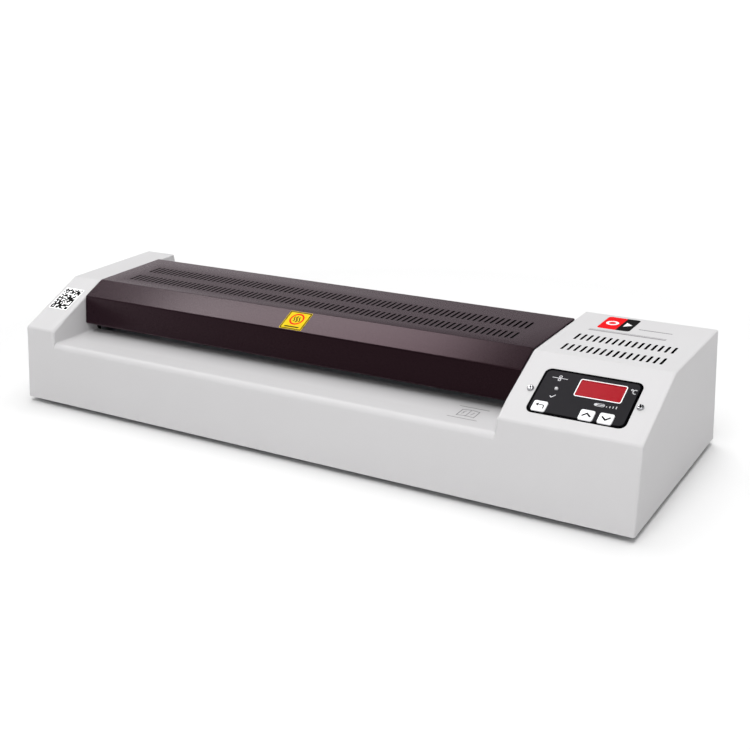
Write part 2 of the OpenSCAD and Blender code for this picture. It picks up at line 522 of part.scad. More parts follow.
module switch_rocker() color("#26272a") switch_frame() {
    translate([0, 0, rock_z]) rotate([0, -8, 0]) translate([0, 5.4, 0]) rotate([90, 0, 0]) linear_extrude(10.8)
        polygon([[-7.5, -1.6], [-7.5, 3.9], [-4, 3.7], [0, 3.2], [4, 3.7], [7.5, 3.9], [7.5, -1.6], [2, -3.4], [-2, -3.4]]);
    translate([0, -6.2, rock_z]) rotate([-90, 0, 0]) cylinder(d = 2, h = 12.4);
}

// ---------- feet, screws, labels ----------
module rubber_feet() color("#2a2a2a") for (x = [x_left + 34, x_right - 34], y = [-62, 62]) difference() {
    union() {
        translate([x, y, -foot_h + 1]) cylinder(d = foot_d, h = foot_h);
        translate([x, y, -foot_h]) cylinder(d1 = foot_d - 2, d2 = foot_d, h = 1);
    }
    translate([x, y, -foot_h - 1]) cylinder(d = 9, h = 4.6);
    translate([x, y, -foot_h]) cylinder(d = 4.2, h = foot_h + 2);
}
module underside_screws() color("silver") {
    for (x = boss_x, s = [-1, 1]) translate([x, s * boss_y, 1]) rotate([180, 0, 0]) pan_screw(3, 6.5, 2, 12);
    for (x = [x_left + 34, x_right - 34], y = [-62, 62]) translate([x, y, -foot_h + 3.6]) rotate([180, 0, 0]) pan_screw(4, 8, 2.4, 5.4);
    for (x = [fl1 + 8, fr0 - 8], y = [-20, 45]) translate([x, y, 1]) rotate([180, 0, 0]) pan_screw(4, 7.5, 2.2, 6);
    for (y = [-50, -6]) translate([fr1 + 14, y, 1]) rotate([180, 0, 0]) pan_screw(4, 7.5, 2.2, 6);
}
module frame_screws() color("silver") {
    for (p = [[-28, 14], [52, 14], [22, 94]]) {
        translate([fl0, p[0], p[1]]) rotate([0, -90, 0]) pan_screw(3.4, 7.5, 2.4, 13);
        translate([fr1, p[0], p[1]]) rotate([0, 90, 0]) pan_screw(3.4, 7.5, 2.4, 13);
    }
    for (a = [45, 135, 225, 315]) translate([mot_x0 - 2.5, y_pin + 25 * cos(a), z_pin + 25 * sin(a)]) rotate([0, -90, 0]) pan_screw(4, 7, 2, 10);
    for (x = [pb[0] + 5, pb[2] - 5], y = [pb[1] + 5, pb[3] - 5]) translate([x, y, 13.6]) pan_screw(3, 6, 1.8, 7);
}
module cover_screws() color("silver") for (x = [fl1 + 8, fr0 - 8], h = [12, 28]) on_cover_rear(x, h) pan_screw(2.6, 6, 1.8, 6);
// Thin stickers on the sloped faces
module caution_label() color("gold") translate([x_mid, -47.7, 97.8]) rotate([atan(11.5 / 25.3), 0, 0])
    translate([-1.2, 1.6, 0.002]) cube([25, 24.6, 0.2]);
module code_label() color("white") on_slope(x_left) translate([4.6, 31.8, 0.002]) cube([25.2, 32.2, 0.2]);

// ---------- wiring ----------
// A smooth line through hand-placed points.
function spline(p, m = 5) = let (k = len(p)) concat([for (i = [0:k - 2]) each [for (j = [0:m - 1])
    let (t = j / m, a = p[max(i - 1, 0)], b = p[i], c = p[i + 1], d = p[min(i + 2, k - 1)])
    0.5 * (2 * b + (c - a) * t + (2 * a - 5 * b + 4 * c - d) * t * t + (3 * b - a - 3 * c + d) * t * t * t)]], [p[k - 1]]);
module internal_wiring() color("#b23a2e") {
    // display board to power board
    wire(spline([[x_house + 100, -46.5, 83], [x_house + 104, -40, 60], [x_house + 110, -10, 42], [x_right - 12, 22, 36], [x_right - 12, 58, 32], [pb[0] + 71, pb[3] - 15, 27], [pb[0] + 70, pb[3] - 14, 22.4]]), 3);
    // motor to power board
    wire(spline([[mot_x0 + 39, y_pin + 8.6, z_pin + 29.3], [mot_x0 + 42, 12, z_pin + 27], [mot_x0 + 40, 22, 46], [pb[0] + 48, pb[3] - 34, 44], [pb[0] + 38, pb[3] - 15, 30], [pb[0] + 38, pb[3] - 15, 24.4]]), 2.4);
    // heaters to power board, through the window in the right frame
    wire(spline([[x_mid + 226, -2, 22.6], [x_mid + 234, 6, 20.5], [fr0 - 4, 14, 17], [fr1 + 6, 16, 17], [fr1 + 24, 30, 9], [pb[0] - 3, pb[3] - 24, 18], [pb[0] + 8, pb[3] - 16, 20], [pb[0] + 13, pb[3] - 15, 19.6]]), 2.4);
}

lift() main_casing();
lift() top_cover();
lift() bottom_pan();
lift() left_side_frame();
lift() right_side_frame();
lift() tie_bars();
lift() lower_heat_shoe();
lift() upper_heat_shoe();
lift() mica_heaters();
lift() heat_sensors();
lift() heat_shield();
lift() lower_pouch_guide();
lift() upper_pouch_guide();
lift() exit_guide();
lift() lower_bushings();
lift() front_bearing_blocks();
lift() rear_bearing_blocks();
lift() front_pressure_springs();
lift() rear_pressure_springs();
lift() spring_keepers();
lift() motor_bracket();
lift() gear_motor();
lift() idler_shaft();
lift() power_board();
lift() board_components();
lift() display_board();
lift() digit_display();
lift() tact_switches();
lift() ready_led();
lift() panel_overlay();
lift() display_window();
lift() panel_screws();
lift() power_inlet();
lift() inlet_pins();
lift() switch_housing();
lift() rubber_feet();
lift() underside_screws();
lift() frame_screws();
lift() cover_screws();
lift() caution_label();
lift() code_label();
lift() internal_wiring();
lift() push_button(rev_c);  // button_reverse
lift() push_button(up_c);  // button_up
lift() push_button(dn_c);  // button_down
lift() switch_rocker();
lift() core(y_hot, z_low);  // lower_hot_core
lift() sleeve(y_hot, z_low, "#c4472e");  // lower_hot_sleeve
lift() gear(roller_teeth, p_lh, y_hot, z_low, journal_d, "#e8e4d8");  // lower_hot_gear
lift() core(y_hot, z_up);  // upper_hot_core
lift() sleeve(y_hot, z_up, "#c4472e");  // upper_hot_sleeve
lift() gear(roller_teeth, p_uh, y_hot, z_up, journal_d, "#e8e4d8");  // upper_hot_gear
lift() core(y_cold, z_low);  // lower_cold_core
lift() sleeve(y_cold, z_low, "#6a6d70");  // lower_cold_sleeve
lift() gear(roller_teeth, p_lc, y_cold, z_low, journal_d, "#e8e4d8");  // lower_cold_gear
lift() core(y_cold, z_up);  // upper_cold_core
lift() sleeve(y_cold, z_up, "#6a6d70");  // upper_cold_sleeve
lift() gear(roller_teeth, p_uc, y_cold, z_up, journal_d, "#e8e4d8");  // upper_cold_gear
lift() gear(idler_teeth, p_id, y_idl, z_low, 6 + 2 * run_gap, "#e8e4d8");  // idler_gear
lift() motor_pinion();
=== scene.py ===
import math

import bmesh
import bpy
from mathutils import Matrix, Vector


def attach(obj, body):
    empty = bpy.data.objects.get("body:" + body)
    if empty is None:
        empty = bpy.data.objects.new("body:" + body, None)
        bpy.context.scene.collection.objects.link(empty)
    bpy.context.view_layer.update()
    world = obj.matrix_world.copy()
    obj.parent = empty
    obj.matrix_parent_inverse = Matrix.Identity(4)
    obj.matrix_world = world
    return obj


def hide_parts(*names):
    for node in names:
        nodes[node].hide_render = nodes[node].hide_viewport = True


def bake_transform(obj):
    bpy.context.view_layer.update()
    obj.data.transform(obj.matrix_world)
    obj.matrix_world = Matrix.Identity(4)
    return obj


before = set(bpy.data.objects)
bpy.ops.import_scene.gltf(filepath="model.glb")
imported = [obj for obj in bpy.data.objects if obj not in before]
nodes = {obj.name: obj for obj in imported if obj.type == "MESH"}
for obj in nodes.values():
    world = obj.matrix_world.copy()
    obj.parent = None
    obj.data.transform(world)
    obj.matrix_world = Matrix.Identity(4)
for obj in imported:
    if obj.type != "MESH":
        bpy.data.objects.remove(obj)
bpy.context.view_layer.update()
scene = bpy.context.scene
collection = scene.collection

# ------------------------------------------------------------------ dimensions, in millimetres
FOOT = 6.0
THROAT, CAP_W, HOUSE_W, BASE_D = 498.6, 38.1, 123.3, 216.0
CASE_H, FRONT_H, WALL, TRAY_H = 108.4, 73.6, 2.5, 58.0
X0 = -(THROAT + CAP_W + HOUSE_W) / 2
X1 = -X0
XC = X0 + CAP_W
XH = X1 - HOUSE_W
XM = (XC + XH) / 2
YF, YR = -BASE_D / 2, BASE_D / 2
YE, YT = YF + 10, YR - 12
SLOPE = math.radians(25)
YK = YE + (CASE_H - FRONT_H) / math.tan(SLOPE)
REAR = math.atan(12 / CASE_H)
PX0, PX1, PS0, PS1 = 19.9, 103.9, 12.8, 63.9
WIN = (53.6, 39.4, 90.9, 56.0)
LED = (36.5, 42.0)
REV_C, UP_C, DN_C = (30.4, 20.2), (70.7, 19.5), (86.6, 19.5)
BTN = (12.1, 11.3)
FL1, FR0 = XM - 243, XM + 243


def y_front(z):
    return YF + 10 * z / FRONT_H


def y_rear(z):
    return YR - 12 * z / CASE_H


# ------------------------------------------------------------------ outlines
def unit(v):
    n = math.hypot(*v)
    return (v[0] / n, v[1] / n)


def arc(c, r, a0, a1, n):
    return [(c[0] + r * math.cos(math.radians(a0 + (a1 - a0) * i / n)), c[1] + r * math.sin(math.radians(a0 + (a1 - a0) * i / n))) for i in range(n + 1)]


def corner(a, b, c, r, n):
    u, v = unit((a[0] - b[0], a[1] - b[1])), unit((c[0] - b[0], c[1] - b[1]))
    h = math.acos(max(-1, min(1, u[0] * v[0] + u[1] * v[1]))) / 2
    d = r / math.tan(h)
    t0, t1 = (b[0] + u[0] * d, b[1] + u[1] * d), (b[0] + v[0] * d, b[1] + v[1] * d)
    w = unit((u[0] + v[0], u[1] + v[1]))
    m = (b[0] + w[0] * r / math.sin(h), b[1] + w[1] * r / math.sin(h))
    a0 = math.degrees(math.atan2(t0[1] - m[1], t0[0] - m[0]))
    raw = math.degrees(math.atan2(t1[1] - m[1], t1[0] - m[0])) - a0
    turn = raw - 360 if raw > 180 else raw + 360 if raw < -180 else raw
    return arc(m, r, a0, a0 + turn, n)


def rounded(p, r, n=8):
    k = len(p)
    if not isinstance(r, (list, tuple)):
        r = [r] * k
    out = []
    for i in range(k):
        out += corner(p[i - 1], p[i], p[(i + 1) % k], r[i], n) if r[i] > 0 else [p[i]]
    return out


def bent(p, r, n=8):
    out = []
    for i in range(len(p)):
        out += corner(p[i - 1], p[i], p[i + 1], r, n) if 0 < i < len(p) - 1 and r > 0 else [p[i]]
    return out


def rnorm(a, b):
    d = unit((b[0] - a[0], b[1] - a[1]))
    return (d[1], -d[0])


def beside(p, t):
    out = []
    for i in range(len(p)):
        if i == 0 or i == len(p) - 1:
            n = rnorm(p[0], p[1]) if i == 0 else rnorm(p[i - 1], p[i])
            out.append((p[i][0] + t * n[0], p[i][1] + t * n[1]))
        else:
            m, q = rnorm(p[i - 1], p[i]), rnorm(p[i], p[i + 1])
            k = t / (1 + m[0] * q[0] + m[1] * q[1])
            out.append((p[i][0] + k * (m[0] + q[0]), p[i][1] + k * (m[1] + q[1])))
    return out


def inset(p, t):
    out = []
    for i in range(len(p)):
        m, q = rnorm(p[i - 1], p[i]), rnorm(p[i], p[(i + 1) % len(p)])
        k = t / (1 + m[0] * q[0] + m[1] * q[1])
        out.append((p[i][0] + k * (m[0] + q[0]), p[i][1] + k * (m[1] + q[1])))
    return out


def rect(x0, y0, x1, y1, r=0.0, n=8):
    p = [(x0, y0), (x0, y1), (x1, y1), (x1, y0)]
    return rounded(p, r, n) if r > 0 else p


# ------------------------------------------------------------------ frames in the machine
ALONG_X = Matrix(((0, 0, 1, 0), (1, 0, 0, 0), (0, 1, 0, FOOT), (0, 0, 0, 1)))
UP = Matrix.Translation((0, 0, FOOT))


def on_slope(x0=XH):
    return Matrix.Translation((x0, YE, FRONT_H + FOOT)) @ Matrix.Rotation(SLOPE, 4, "X")


def on_rear(x, z):
    return Matrix.Translation((x, y_rear(z), z + FOOT)) @ Matrix.Rotation(REAR, 4, "X") @ Matrix.Rotation(math.pi, 4, "Z") @ Matrix.Rotation(math.pi / 2, 4, "X")


# ------------------------------------------------------------------ mesh building
def mm(m):
    """A placement in millimetres as one in metres."""
    out = m.copy()
    out.translation = out.translation / 1000
    return out @ Matrix.Scale(0.001, 4)


def from_bmesh(name, bm, place=None):
    me = bpy.data.meshes.new(name)
    bmesh.ops.recalc_face_normals(bm, faces=bm.faces)
    bm.to_mesh(me)
    bm.free()
    if place is not None:
        me.transform(mm(place))
    ob = bpy.data.objects.new(name, me)
    collection.objects.link(ob)
    return ob


def add_prism(bm, pts, z0, z1):
    low = [bm.verts.new((x, y, z0)) for x, y in pts]
    high = [bm.verts.new((x, y, z1)) for x, y in pts]
    n = len(pts)
    bm.faces.new(low)
    bm.faces.new(high)
    for i in range(n):
        bm.faces.new((low[i], low[(i + 1) % n], high[(i + 1) % n], high[i]))


def prism(name, pts, z0, z1, place):
    bm = bmesh.new()
    add_prism(bm, pts, z0, z1)
    return from_bmesh(name, bm, place)


def prisms(name, items, place):
    """Several separate solids in one object: (outline, z0, z1) each."""
    bm = bmesh.new()
    for pts, z0, z1 in items:
        add_prism(bm, pts, z0, z1)
    return from_bmesh(name, bm, place)


def circle(c, r, n=40):
    return [(c[0] + r * math.cos(2 * math.pi * i / n), c[1] + r * math.sin(2 * math.pi * i / n)) for i in range(n)]


def apply_mods(ob):
    """Turns the object's modifiers into its mesh."""
    bpy.context.view_layer.update()
    me = bpy.data.meshes.new_from_object(ob.evaluated_get(bpy.context.evaluated_depsgraph_get()))
    old = ob.data
    ob.modifiers.clear()
    ob.data = me
    me.name = ob.name
    bpy.data.meshes.remove(old)
    return ob


def boolean(ob, other, how="DIFFERENCE", keep=False):
    mod = ob.modifiers.new("cut", "BOOLEAN")
    mod.operation, mod.solver, mod.object = how, "EXACT", other
    mod.material_mode = "TRANSFER"
    apply_mods(ob)
    if not keep:
        bpy.data.objects.remove(other)
    return ob


def tidy(ob, angle=0.3):
    bm = bmesh.new()
    bm.from_mesh(ob.data)
    bmesh.ops.remove_doubles(bm, verts=bm.verts, dist=2e-6)
    bmesh.ops.dissolve_limit(bm, angle_limit=math.radians(angle), verts=bm.verts, edges=bm.edges)
    bm.to_mesh(ob.data)
    bm.free()
    return ob


def bevel(ob, width, segments=3, angle=35, weights=None):
    """Rounds the edges sharper than angle. weights(edge midpoint in mm, edge) gives an edge its own radius."""
    mod = ob.modifiers.new("round", "BEVEL")
    mod.segments = segments
    mod.use_clamp_overlap = False
    mod.harden_normals = False
    mod.miter_outer = "MITER_ARC"
    if weights is None:
        mod.width = width / 1000
        mod.limit_method = "ANGLE"
        mod.angle_limit = math.radians(angle)
    else:
        me = ob.data
        bm = bmesh.new()
        bm.from_mesh(me)
        layer = bm.edges.layers.float.get("bevel_weight_edge") or bm.edges.layers.float.new("bevel_weight_edge")
        values = []
        for e in bm.edges:
            r = 0.0
            if len(e.link_faces) == 2 and e.calc_face_angle() > math.radians(angle):
                mid = (e.verts[0].co + e.verts[1].co) * 500
                r = weights(mid, e)
            values.append(r)
        top = max(values)
        for e, r in zip(bm.edges, values):
            e[layer] = r / top
        bm.to_mesh(me)
        bm.free()
        mod.limit_method = "WEIGHT"
        mod.width = top / 1000
    return apply_mods(ob)


def smooth(ob, angle=30):
    for p in ob.data.polygons:
        p.use_smooth = True
    ob.data.set_sharp_from_angle(angle=math.radians(angle))
    return ob


def weighted(ob):
    mod = ob.modifiers.new("normals", "WEIGHTED_NORMAL")
    mod.keep_sharp = True
    mod.weight = 80
    return apply_mods(ob)


# ------------------------------------------------------------------ materials
def new_material(name):
    m = bpy.data.materials.new(name)
    m.use_nodes = True
    nt = m.node_tree
    return m, nt, nt.nodes["Principled BSDF"]


def node(nt, kind, **inputs):
    n = nt.nodes.new(kind)
    for k, v in inputs.items():
        if k in n.inputs:
            n.inputs[k].default_value = v
        else:
            setattr(n, k, v)
    return n


def ramp(nt, source, stops):
    r = nt.nodes.new("ShaderNodeValToRGB")
    r.color_ramp.interpolation = "LINEAR"
    while len(r.color_ramp.elements) < len(stops):
        r.color_ramp.elements.new(0.5)
    for e, (at, col) in zip(r.color_ramp.elements, stops):
        e.position = at
        e.color = (*col, 1)
    nt.links.new(source, r.inputs["Fac"])
    return r.outputs["Color"]


def remap(nt, source, lo, hi):
    m = node(nt, "ShaderNodeMapRange")
    m.inputs["To Min"].default_value = lo
    m.inputs["To Max"].default_value = hi
    nt.links.new(source, m.inputs["Value"])
    return m.outputs["Result"]


def finish(name, color, rough=(0.35, 0.45), spread=0.06, grain=900.0, bump=0.04, bump_mm=0.02, metallic=0.0, ior=1.45, specular=0.5,
           coat=0.0, coat_rough=0.2, blotch=14.0, tint=(1, 1, 1), stretch=(1, 1, 1), emission=None, emission_strength=0.0, sheen=0.0, sheen_tint=(1, 1, 1)):
    """A procedural surface: slow colour variation, and fine grain in the bump and the roughness."""
    m, nt, b = new_material(name)
    co = node(nt, "ShaderNodeTexCoord")
    mp = node(nt, "ShaderNodeMapping")
    mp.inputs["Scale"].default_value = stretch
    nt.links.new(co.outputs["Object"], mp.inputs["Vector"])
    slow = node(nt, "ShaderNodeTexNoise", Scale=blotch, Detail=3.0, Roughness=0.55)
    fine = node(nt, "ShaderNodeTexNoise", Scale=grain, Detail=2.0, Roughness=0.5)
    nt.links.new(mp.outputs["Vector"], slow.inputs["Vector"])
    nt.links.new(mp.outputs["Vector"], fine.inputs["Vector"])
    dark = tuple(max(0.0, c * (1 - spread)) for c in color)
    light = tuple(min(1.0, c * (1 + spread)) for c in color)
    col = ramp(nt, slow.outputs["Fac"], [(0.3, dark), (0.7, light)])
    nt.links.new(col, b.inputs["Base Color"])
    nt.links.new(remap(nt, fine.outputs["Fac"], *rough), b.inputs["Roughness"])
    bp = node(nt, "ShaderNodeBump", Strength=bump, Distance=bump_mm / 1000)
    nt.links.new(fine.outputs["Fac"], bp.inputs["Height"])
    nt.links.new(bp.outputs["Normal"], b.inputs["Normal"])
    b.inputs["Metallic"].default_value = metallic
    b.inputs["IOR"].default_value = ior
    b.inputs["Specular IOR Level"].default_value = specular
    b.inputs["Coat Weight"].default_value = coat
    b.inputs["Coat Roughness"].default_value = coat_rough
    b.inputs["Specular Tint"].default_value = (*tint, 1)
    b.inputs["Sheen Weight"].default_value = sheen
    b.inputs["Sheen Tint"].default_value = (*sheen_tint, 1)
    if emission:
        b.inputs["Emission Color"].default_value = (*emission, 1)
        b.inputs["Emission Strength"].default_value = emission_strength
    return m


def lin(r, g, b):
    def f(c):
        c /= 255
        return c / 12.92 if c <= 0.04045 else ((c + 0.055) / 1.055) ** 2.4
    return (f(r), f(g), f(b))


M = {
    "white": finish("casing_white", lin(194, 193, 194), rough=(0.42, 0.52), spread=0.012, grain=1500, bump=0.10, bump_mm=0.02, blotch=5, ior=1.13),
    "brown": finish("cover_brown", lin(8, 2, 3), rough=(0.24, 0.31), spread=0.05, grain=1800, bump=0.12, bump_mm=0.012, blotch=9, ior=1.22, tint=(1.0, 0.58, 0.70), sheen=0.08, sheen_tint=(1.0, 0.34, 0.66)),
    "zinc": finish("zinc_sheet", lin(176, 178, 182), rough=(0.30, 0.48), spread=0.08, grain=260, bump=0.05, metallic=1.0, blotch=60),
    "steel": finish("ground_steel", lin(190, 190, 193), rough=(0.16, 0.30), spread=0.04, grain=500, bump=0.05, metallic=1.0, stretch=(0.05, 1, 1)),
    "screw": finish("screw_steel", lin(168, 168, 171), rough=(0.18, 0.30), spread=0.05, grain=900, bump=0.05, metallic=1.0),
    "aluminium": finish("extruded_aluminium", lin(196, 198, 201), rough=(0.28, 0.42), spread=0.04, grain=400, bump=0.06, metallic=1.0, stretch=(0.04, 1, 1)),
    "mica": finish("mica_sheet", lin(128, 114, 78), rough=(0.3, 0.6), spread=0.2, grain=180, bump=0.1, blotch=80),
    "ceramic": finish("glazed_ceramic", lin(224, 218, 202), rough=(0.15, 0.25), spread=0.03, grain=300, bump=0.03),
    "bronze": finish("sintered_bronze", lin(164, 122, 74), rough=(0.3, 0.5), spread=0.12, grain=1600, bump=0.25, metallic=1.0),
    "black": finish("black_plastic", lin(32, 32, 34), rough=(0.36, 0.5), spread=0.05, grain=1400, bump=0.12, bump_mm=0.02),
    "nylon": finish("natural_nylon", lin(222, 216, 198), rough=(0.34, 0.46), spread=0.03, grain=700, bump=0.05),
    "red_silicone": finish("red_silicone", lin(158, 50, 36), rough=(0.5, 0.62), spread=0.06, grain=1200, bump=0.12),
    "grey_silicone": finish("grey_silicone", lin(96, 98, 100), rough=(0.5, 0.62), spread=0.05, grain=1200, bump=0.12),
    "board": finish("circuit_board", lin(24, 92, 56), rough=(0.24, 0.36), spread=0.14, grain=420, bump=0.05, blotch=160, coat=0.4),
    "parts": finish("board_parts", lin(44, 46, 50), rough=(0.3, 0.5), spread=0.2, grain=500, bump=0.06, blotch=70),
    "digits": finish("digit_module", lin(46, 14, 16), rough=(0.2, 0.3), spread=0.05, grain=300, bump=0.03),
    # the red window has a faint emission: a painted glow, as if the window were lit by the display behind it
    "window": finish("red_window", lin(147, 18, 29), rough=(0.20, 0.28), spread=0.04, grain=260, bump=0.02, ior=1.10, blotch=30, emission=lin(190, 14, 30), emission_strength=0.05),
    "lens": finish("lamp_lens", lin(196, 196, 198), rough=(0.2, 0.3), spread=0.03, grain=300, bump=0.02, ior=1.3),
    "film": finish("overlay_film", lin(33, 32, 35), rough=(0.34, 0.44), spread=0.03, grain=2200, bump=0.08, bump_mm=0.01, ior=1.08),
    "film_edge": finish("overlay_border", lin(3, 3, 4), rough=(0.30, 0.40), spread=0.03, grain=2200, bump=0.06, bump_mm=0.01, ior=1.03),
    "key": finish("button_white", lin(222, 222, 224), rough=(0.22, 0.3), spread=0.01, grain=1400, bump=0.04, bump_mm=0.01),
    "ink_white": finish("print_white", lin(236, 236, 238), rough=(0.4, 0.5), spread=0.03, grain=2600, bump=0.03),
    "ink_grey": finish("print_grey", lin(196, 196, 200), rough=(0.4, 0.5), spread=0.03, grain=2600, bump=0.03),
    "ink_dim": finish("print_dim", lin(112, 110, 113), rough=(0.4, 0.5), spread=0.04, grain=2600, bump=0.03, ior=1.3),
    "ink_black": finish("print_black", lin(13, 12, 13), rough=(0.4, 0.5), spread=0.04, grain=2600, bump=0.03, ior=1.06),
    "ink_red": finish("print_red", lin(214, 10, 18), rough=(0.36, 0.46), spread=0.03, grain=2600, bump=0.03, ior=1.06),
    "ink_yellow": finish("print_yellow", lin(214, 184, 6), rough=(0.34, 0.44), spread=0.03, grain=2600, bump=0.03, ior=1.08),
    "ink_orange": finish("print_orange", lin(222, 70, 26), rough=(0.36, 0.46), spread=0.03, grain=2600, bump=0.03),
    "paper": finish("label_white", lin(246, 246, 247), rough=(0.3, 0.4), spread=0.01, grain=2600, bump=0.03),
    "foot": finish("foot_rubber", lin(26, 26, 27), rough=(0.55, 0.7), spread=0.06, grain=1200, bump=0.2),
    "brass": finish("plated_brass", lin(206, 176, 110), rough=(0.14, 0.24), spread=0.05, grain=500, bump=0.03, metallic=1.0),
    "wire": finish("wire_insulation", lin(158, 34, 28), rough=(0.3, 0.4), spread=0.06, grain=600, bump=0.03),
    # near-black paint for the casing's inner faces, the slot and vent walls and the screw recesses: painted shade, so
    # these openings read dark
    "inside": finish("casing_inside", lin(6, 5, 6), rough=(0.6, 0.8), spread=0.05, grain=600, bump=0.05, ior=1.05),
    # near-black steel for the heat shield: painted shade, so that it shows black through the cover's slots
    "dark_shield_shade": finish("shield_painted_shade", lin(20, 19, 21), rough=(0.45, 0.6), spread=0.1, grain=260, bump=0.05, ior=1.3, blotch=60),
}


def paint(ob, key):
    ob.data.materials.clear()
    ob.data.materials.append(M[key])
    return ob


def piece(ob, key, body="chassis", replaces=()):
    if key:
        paint(ob, key)
    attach(ob, body)
    if replaces:
        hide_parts(*replaces)
    return ob


# ------------------------------------------------------------------ camera, lights, floor
cam_data = bpy.data.cameras.new("camera")
cam_data.lens = 1151.04 * 36 / 750
cam_data.sensor_width = 36
cam_data.clip_end = 60
cam = bpy.data.objects.new("camera", cam_data)
collection.objects.link(cam)
cam_rows = ((0.8551, 0.5176, -0.0309), (-0.1582, 0.3170, 0.9351), (0.4938, -0.7947, 0.3530))
cols = [Vector(r).normalized() for r in cam_rows]
mat = Matrix((cols[0], cols[1], cols[2])).transposed().to_4x4()
mat.translation = (0.5773, -0.8763, 0.4430)
cam.matrix_world = mat
scene.camera = cam

scene.view_settings.view_transform = "Standard"
scene.view_settings.look = "None"
world = bpy.data.worlds.new("studio")
scene.world = world
world.use_nodes = True
wt = world.node_tree
direction = wt.nodes.new("ShaderNodeTexCoord")
split = wt.nodes.new("ShaderNodeSeparateXYZ")
wt.links.new(direction.outputs["Generated"], split.inputs[0])
fall = wt.nodes.new("ShaderNodeMapRange")
fall.inputs["From Min"].default_value = 0.0
fall.inputs["From Max"].default_value = 0.8
fall.inputs["To Min"].default_value = 0.92
fall.inputs["To Max"].default_value = 0.34
wt.links.new(split.outputs["Z"], fall.inputs["Value"])
wt.links.new(fall.outputs["Result"], wt.nodes["Background"].inputs["Strength"])
wt.nodes["Background"].inputs["Color"].default_value = (1.0, 1.0, 1.0, 1)


def area(name, at, to, size, power):
    d = bpy.data.lights.new(name, "AREA")
    d.shape = "RECTANGLE"
    d.size, d.size_y = size
    d.energy = power
    o = bpy.data.objects.new(name, d)
    collection.objects.link(o)
    o.location = at
    o.rotation_euler = (Vector(to) - Vector(at)).to_track_quat("-Z", "Y").to_euler()
    return o


for o in (area("sheen_right", (-0.85, 0.5, 1.95), (-0.85, 0.5001, 0), (0.9, 0.9), 31), area("sheen_left", (-1.8, 0.5, 1.95), (-1.8, 0.5001, 0), (1.0, 0.9), 28)):
    o.visible_diffuse = False
area("overhead", (-0.1, 0.65, 2.3), (-0.1, 0.2, 0), (2.0, 1.6), 31).visible_glossy = False
area("front", (0.5, -1.3, 2.3), (0, 0, 0.05), (1.5, 1.5), 43)

bm = bmesh.new()
bmesh.ops.create_grid(bm, x_segments=24, y_segments=24, size=1)
for v in bm.verts:
    v.co = Vector((v.co.x * 40, v.co.y * 40, 0))
bm.normal_update()
floor = from_bmesh("floor", bm)
floor.location.z = -0.00005
pale = finish("floor_pale", (0.775, 0.775, 0.775), rough=(0.75, 0.85), spread=0.003, grain=40, bump=0.0, blotch=2, specular=0.1)
nt = pale.node_tree
far = nt.nodes.new("ShaderNodeVectorMath")
far.operation = "LENGTH"
nt.links.new(nt.nodes["Texture Coordinate"].outputs["Object"], far.inputs[0])
glow = nt.nodes.new("ShaderNodeMapRange")
glow.inputs["From Min"].default_value = 0.55
glow.inputs["From Max"].default_value = 2.0
glow.inputs["To Min"].default_value = 0.0
glow.inputs["To Max"].default_value = 0.9
nt.links.new(far.outputs["Value"], glow.inputs["Value"])
nt.links.new(glow.outputs["Result"], nt.nodes["Principled BSDF"].inputs["Emission Strength"])
nt.nodes["Principled BSDF"].inputs["Emission Color"].default_value = (1, 1, 1, 1)
floor.data.materials.append(pale)

# ------------------------------------------------------------------ white casing
CAP_PTS = [(y_front(-5), -5), (YE, FRONT_H), (YK, CASE_H), (YT, CASE_H), (y_rear(-5), -5)]
CREST = TRAY_H + 2.4
TRAY_PTS = [(y_front(-5), -5), (y_front(CREST), CREST), (-74, TRAY_H), (-37, TRAY_H + 0.6), (62, TRAY_H + 0.6), (80, TRAY_H), (y_rear(CREST), CREST), (y_rear(-5), -5)]
TRAY_R = [0, 6.5, 60, 0, 0, 40, 5, 0]


def above(p):
    return [(-150, 140), (-150, p[1][1])] + p[1:-1] + [(150, p[-2][1]), (150, 140)]


def slot_pts(x, y0, y1, w, n=6):
    return arc((x, y1 - w / 2), w / 2, 180, 0, n) + arc((x, y0 + w / 2), w / 2, 0, -180, n)


def slot_row(count, x0, pitch, y0, y1, w, z0, z1):
    return [(slot_pts(x0 + i * pitch, y0, y1, w), z0, z1) for i in range(count)]


def profile(p, radii, n):
    """A rounded outline as (point, outward direction, corner index or None) along the way."""
    k = len(p)
    out = []
    for i in range(k):
        if i in (0, k - 1) or radii[i] <= 0:
            out.append((p[i], None))
            continue
        out += [(q, i) for q in corner(p[i - 1], p[i], p[i + 1], radii[i], n)]
    # points along the straights keep the strips' quads even
    even = []
    for (a, ia), (b, ib) in zip(out, out[1:]):
        even.append((a, ia))
        d = math.dist(a, b)
        if ia is None or ib is None or ia != ib:
            m = max(1, int(d / 9))
            even += [((a[0] + (b[0] - a[0]) * j / m, a[1] + (b[1] - a[1]) * j / m), None) for j in range(1, m)]
    even.append(out[-1])
    pts = [q for q, _ in even]
    dirs = []
    for i in range(len(pts)):
        u = unit((pts[min(i + 1, len(pts) - 1)][0] - pts[max(i - 1, 0)][0], pts[min(i + 1, len(pts) - 1)][1] - pts[max(i - 1, 0)][1]))
        dirs.append((-u[1], u[0]))
    return pts, dirs


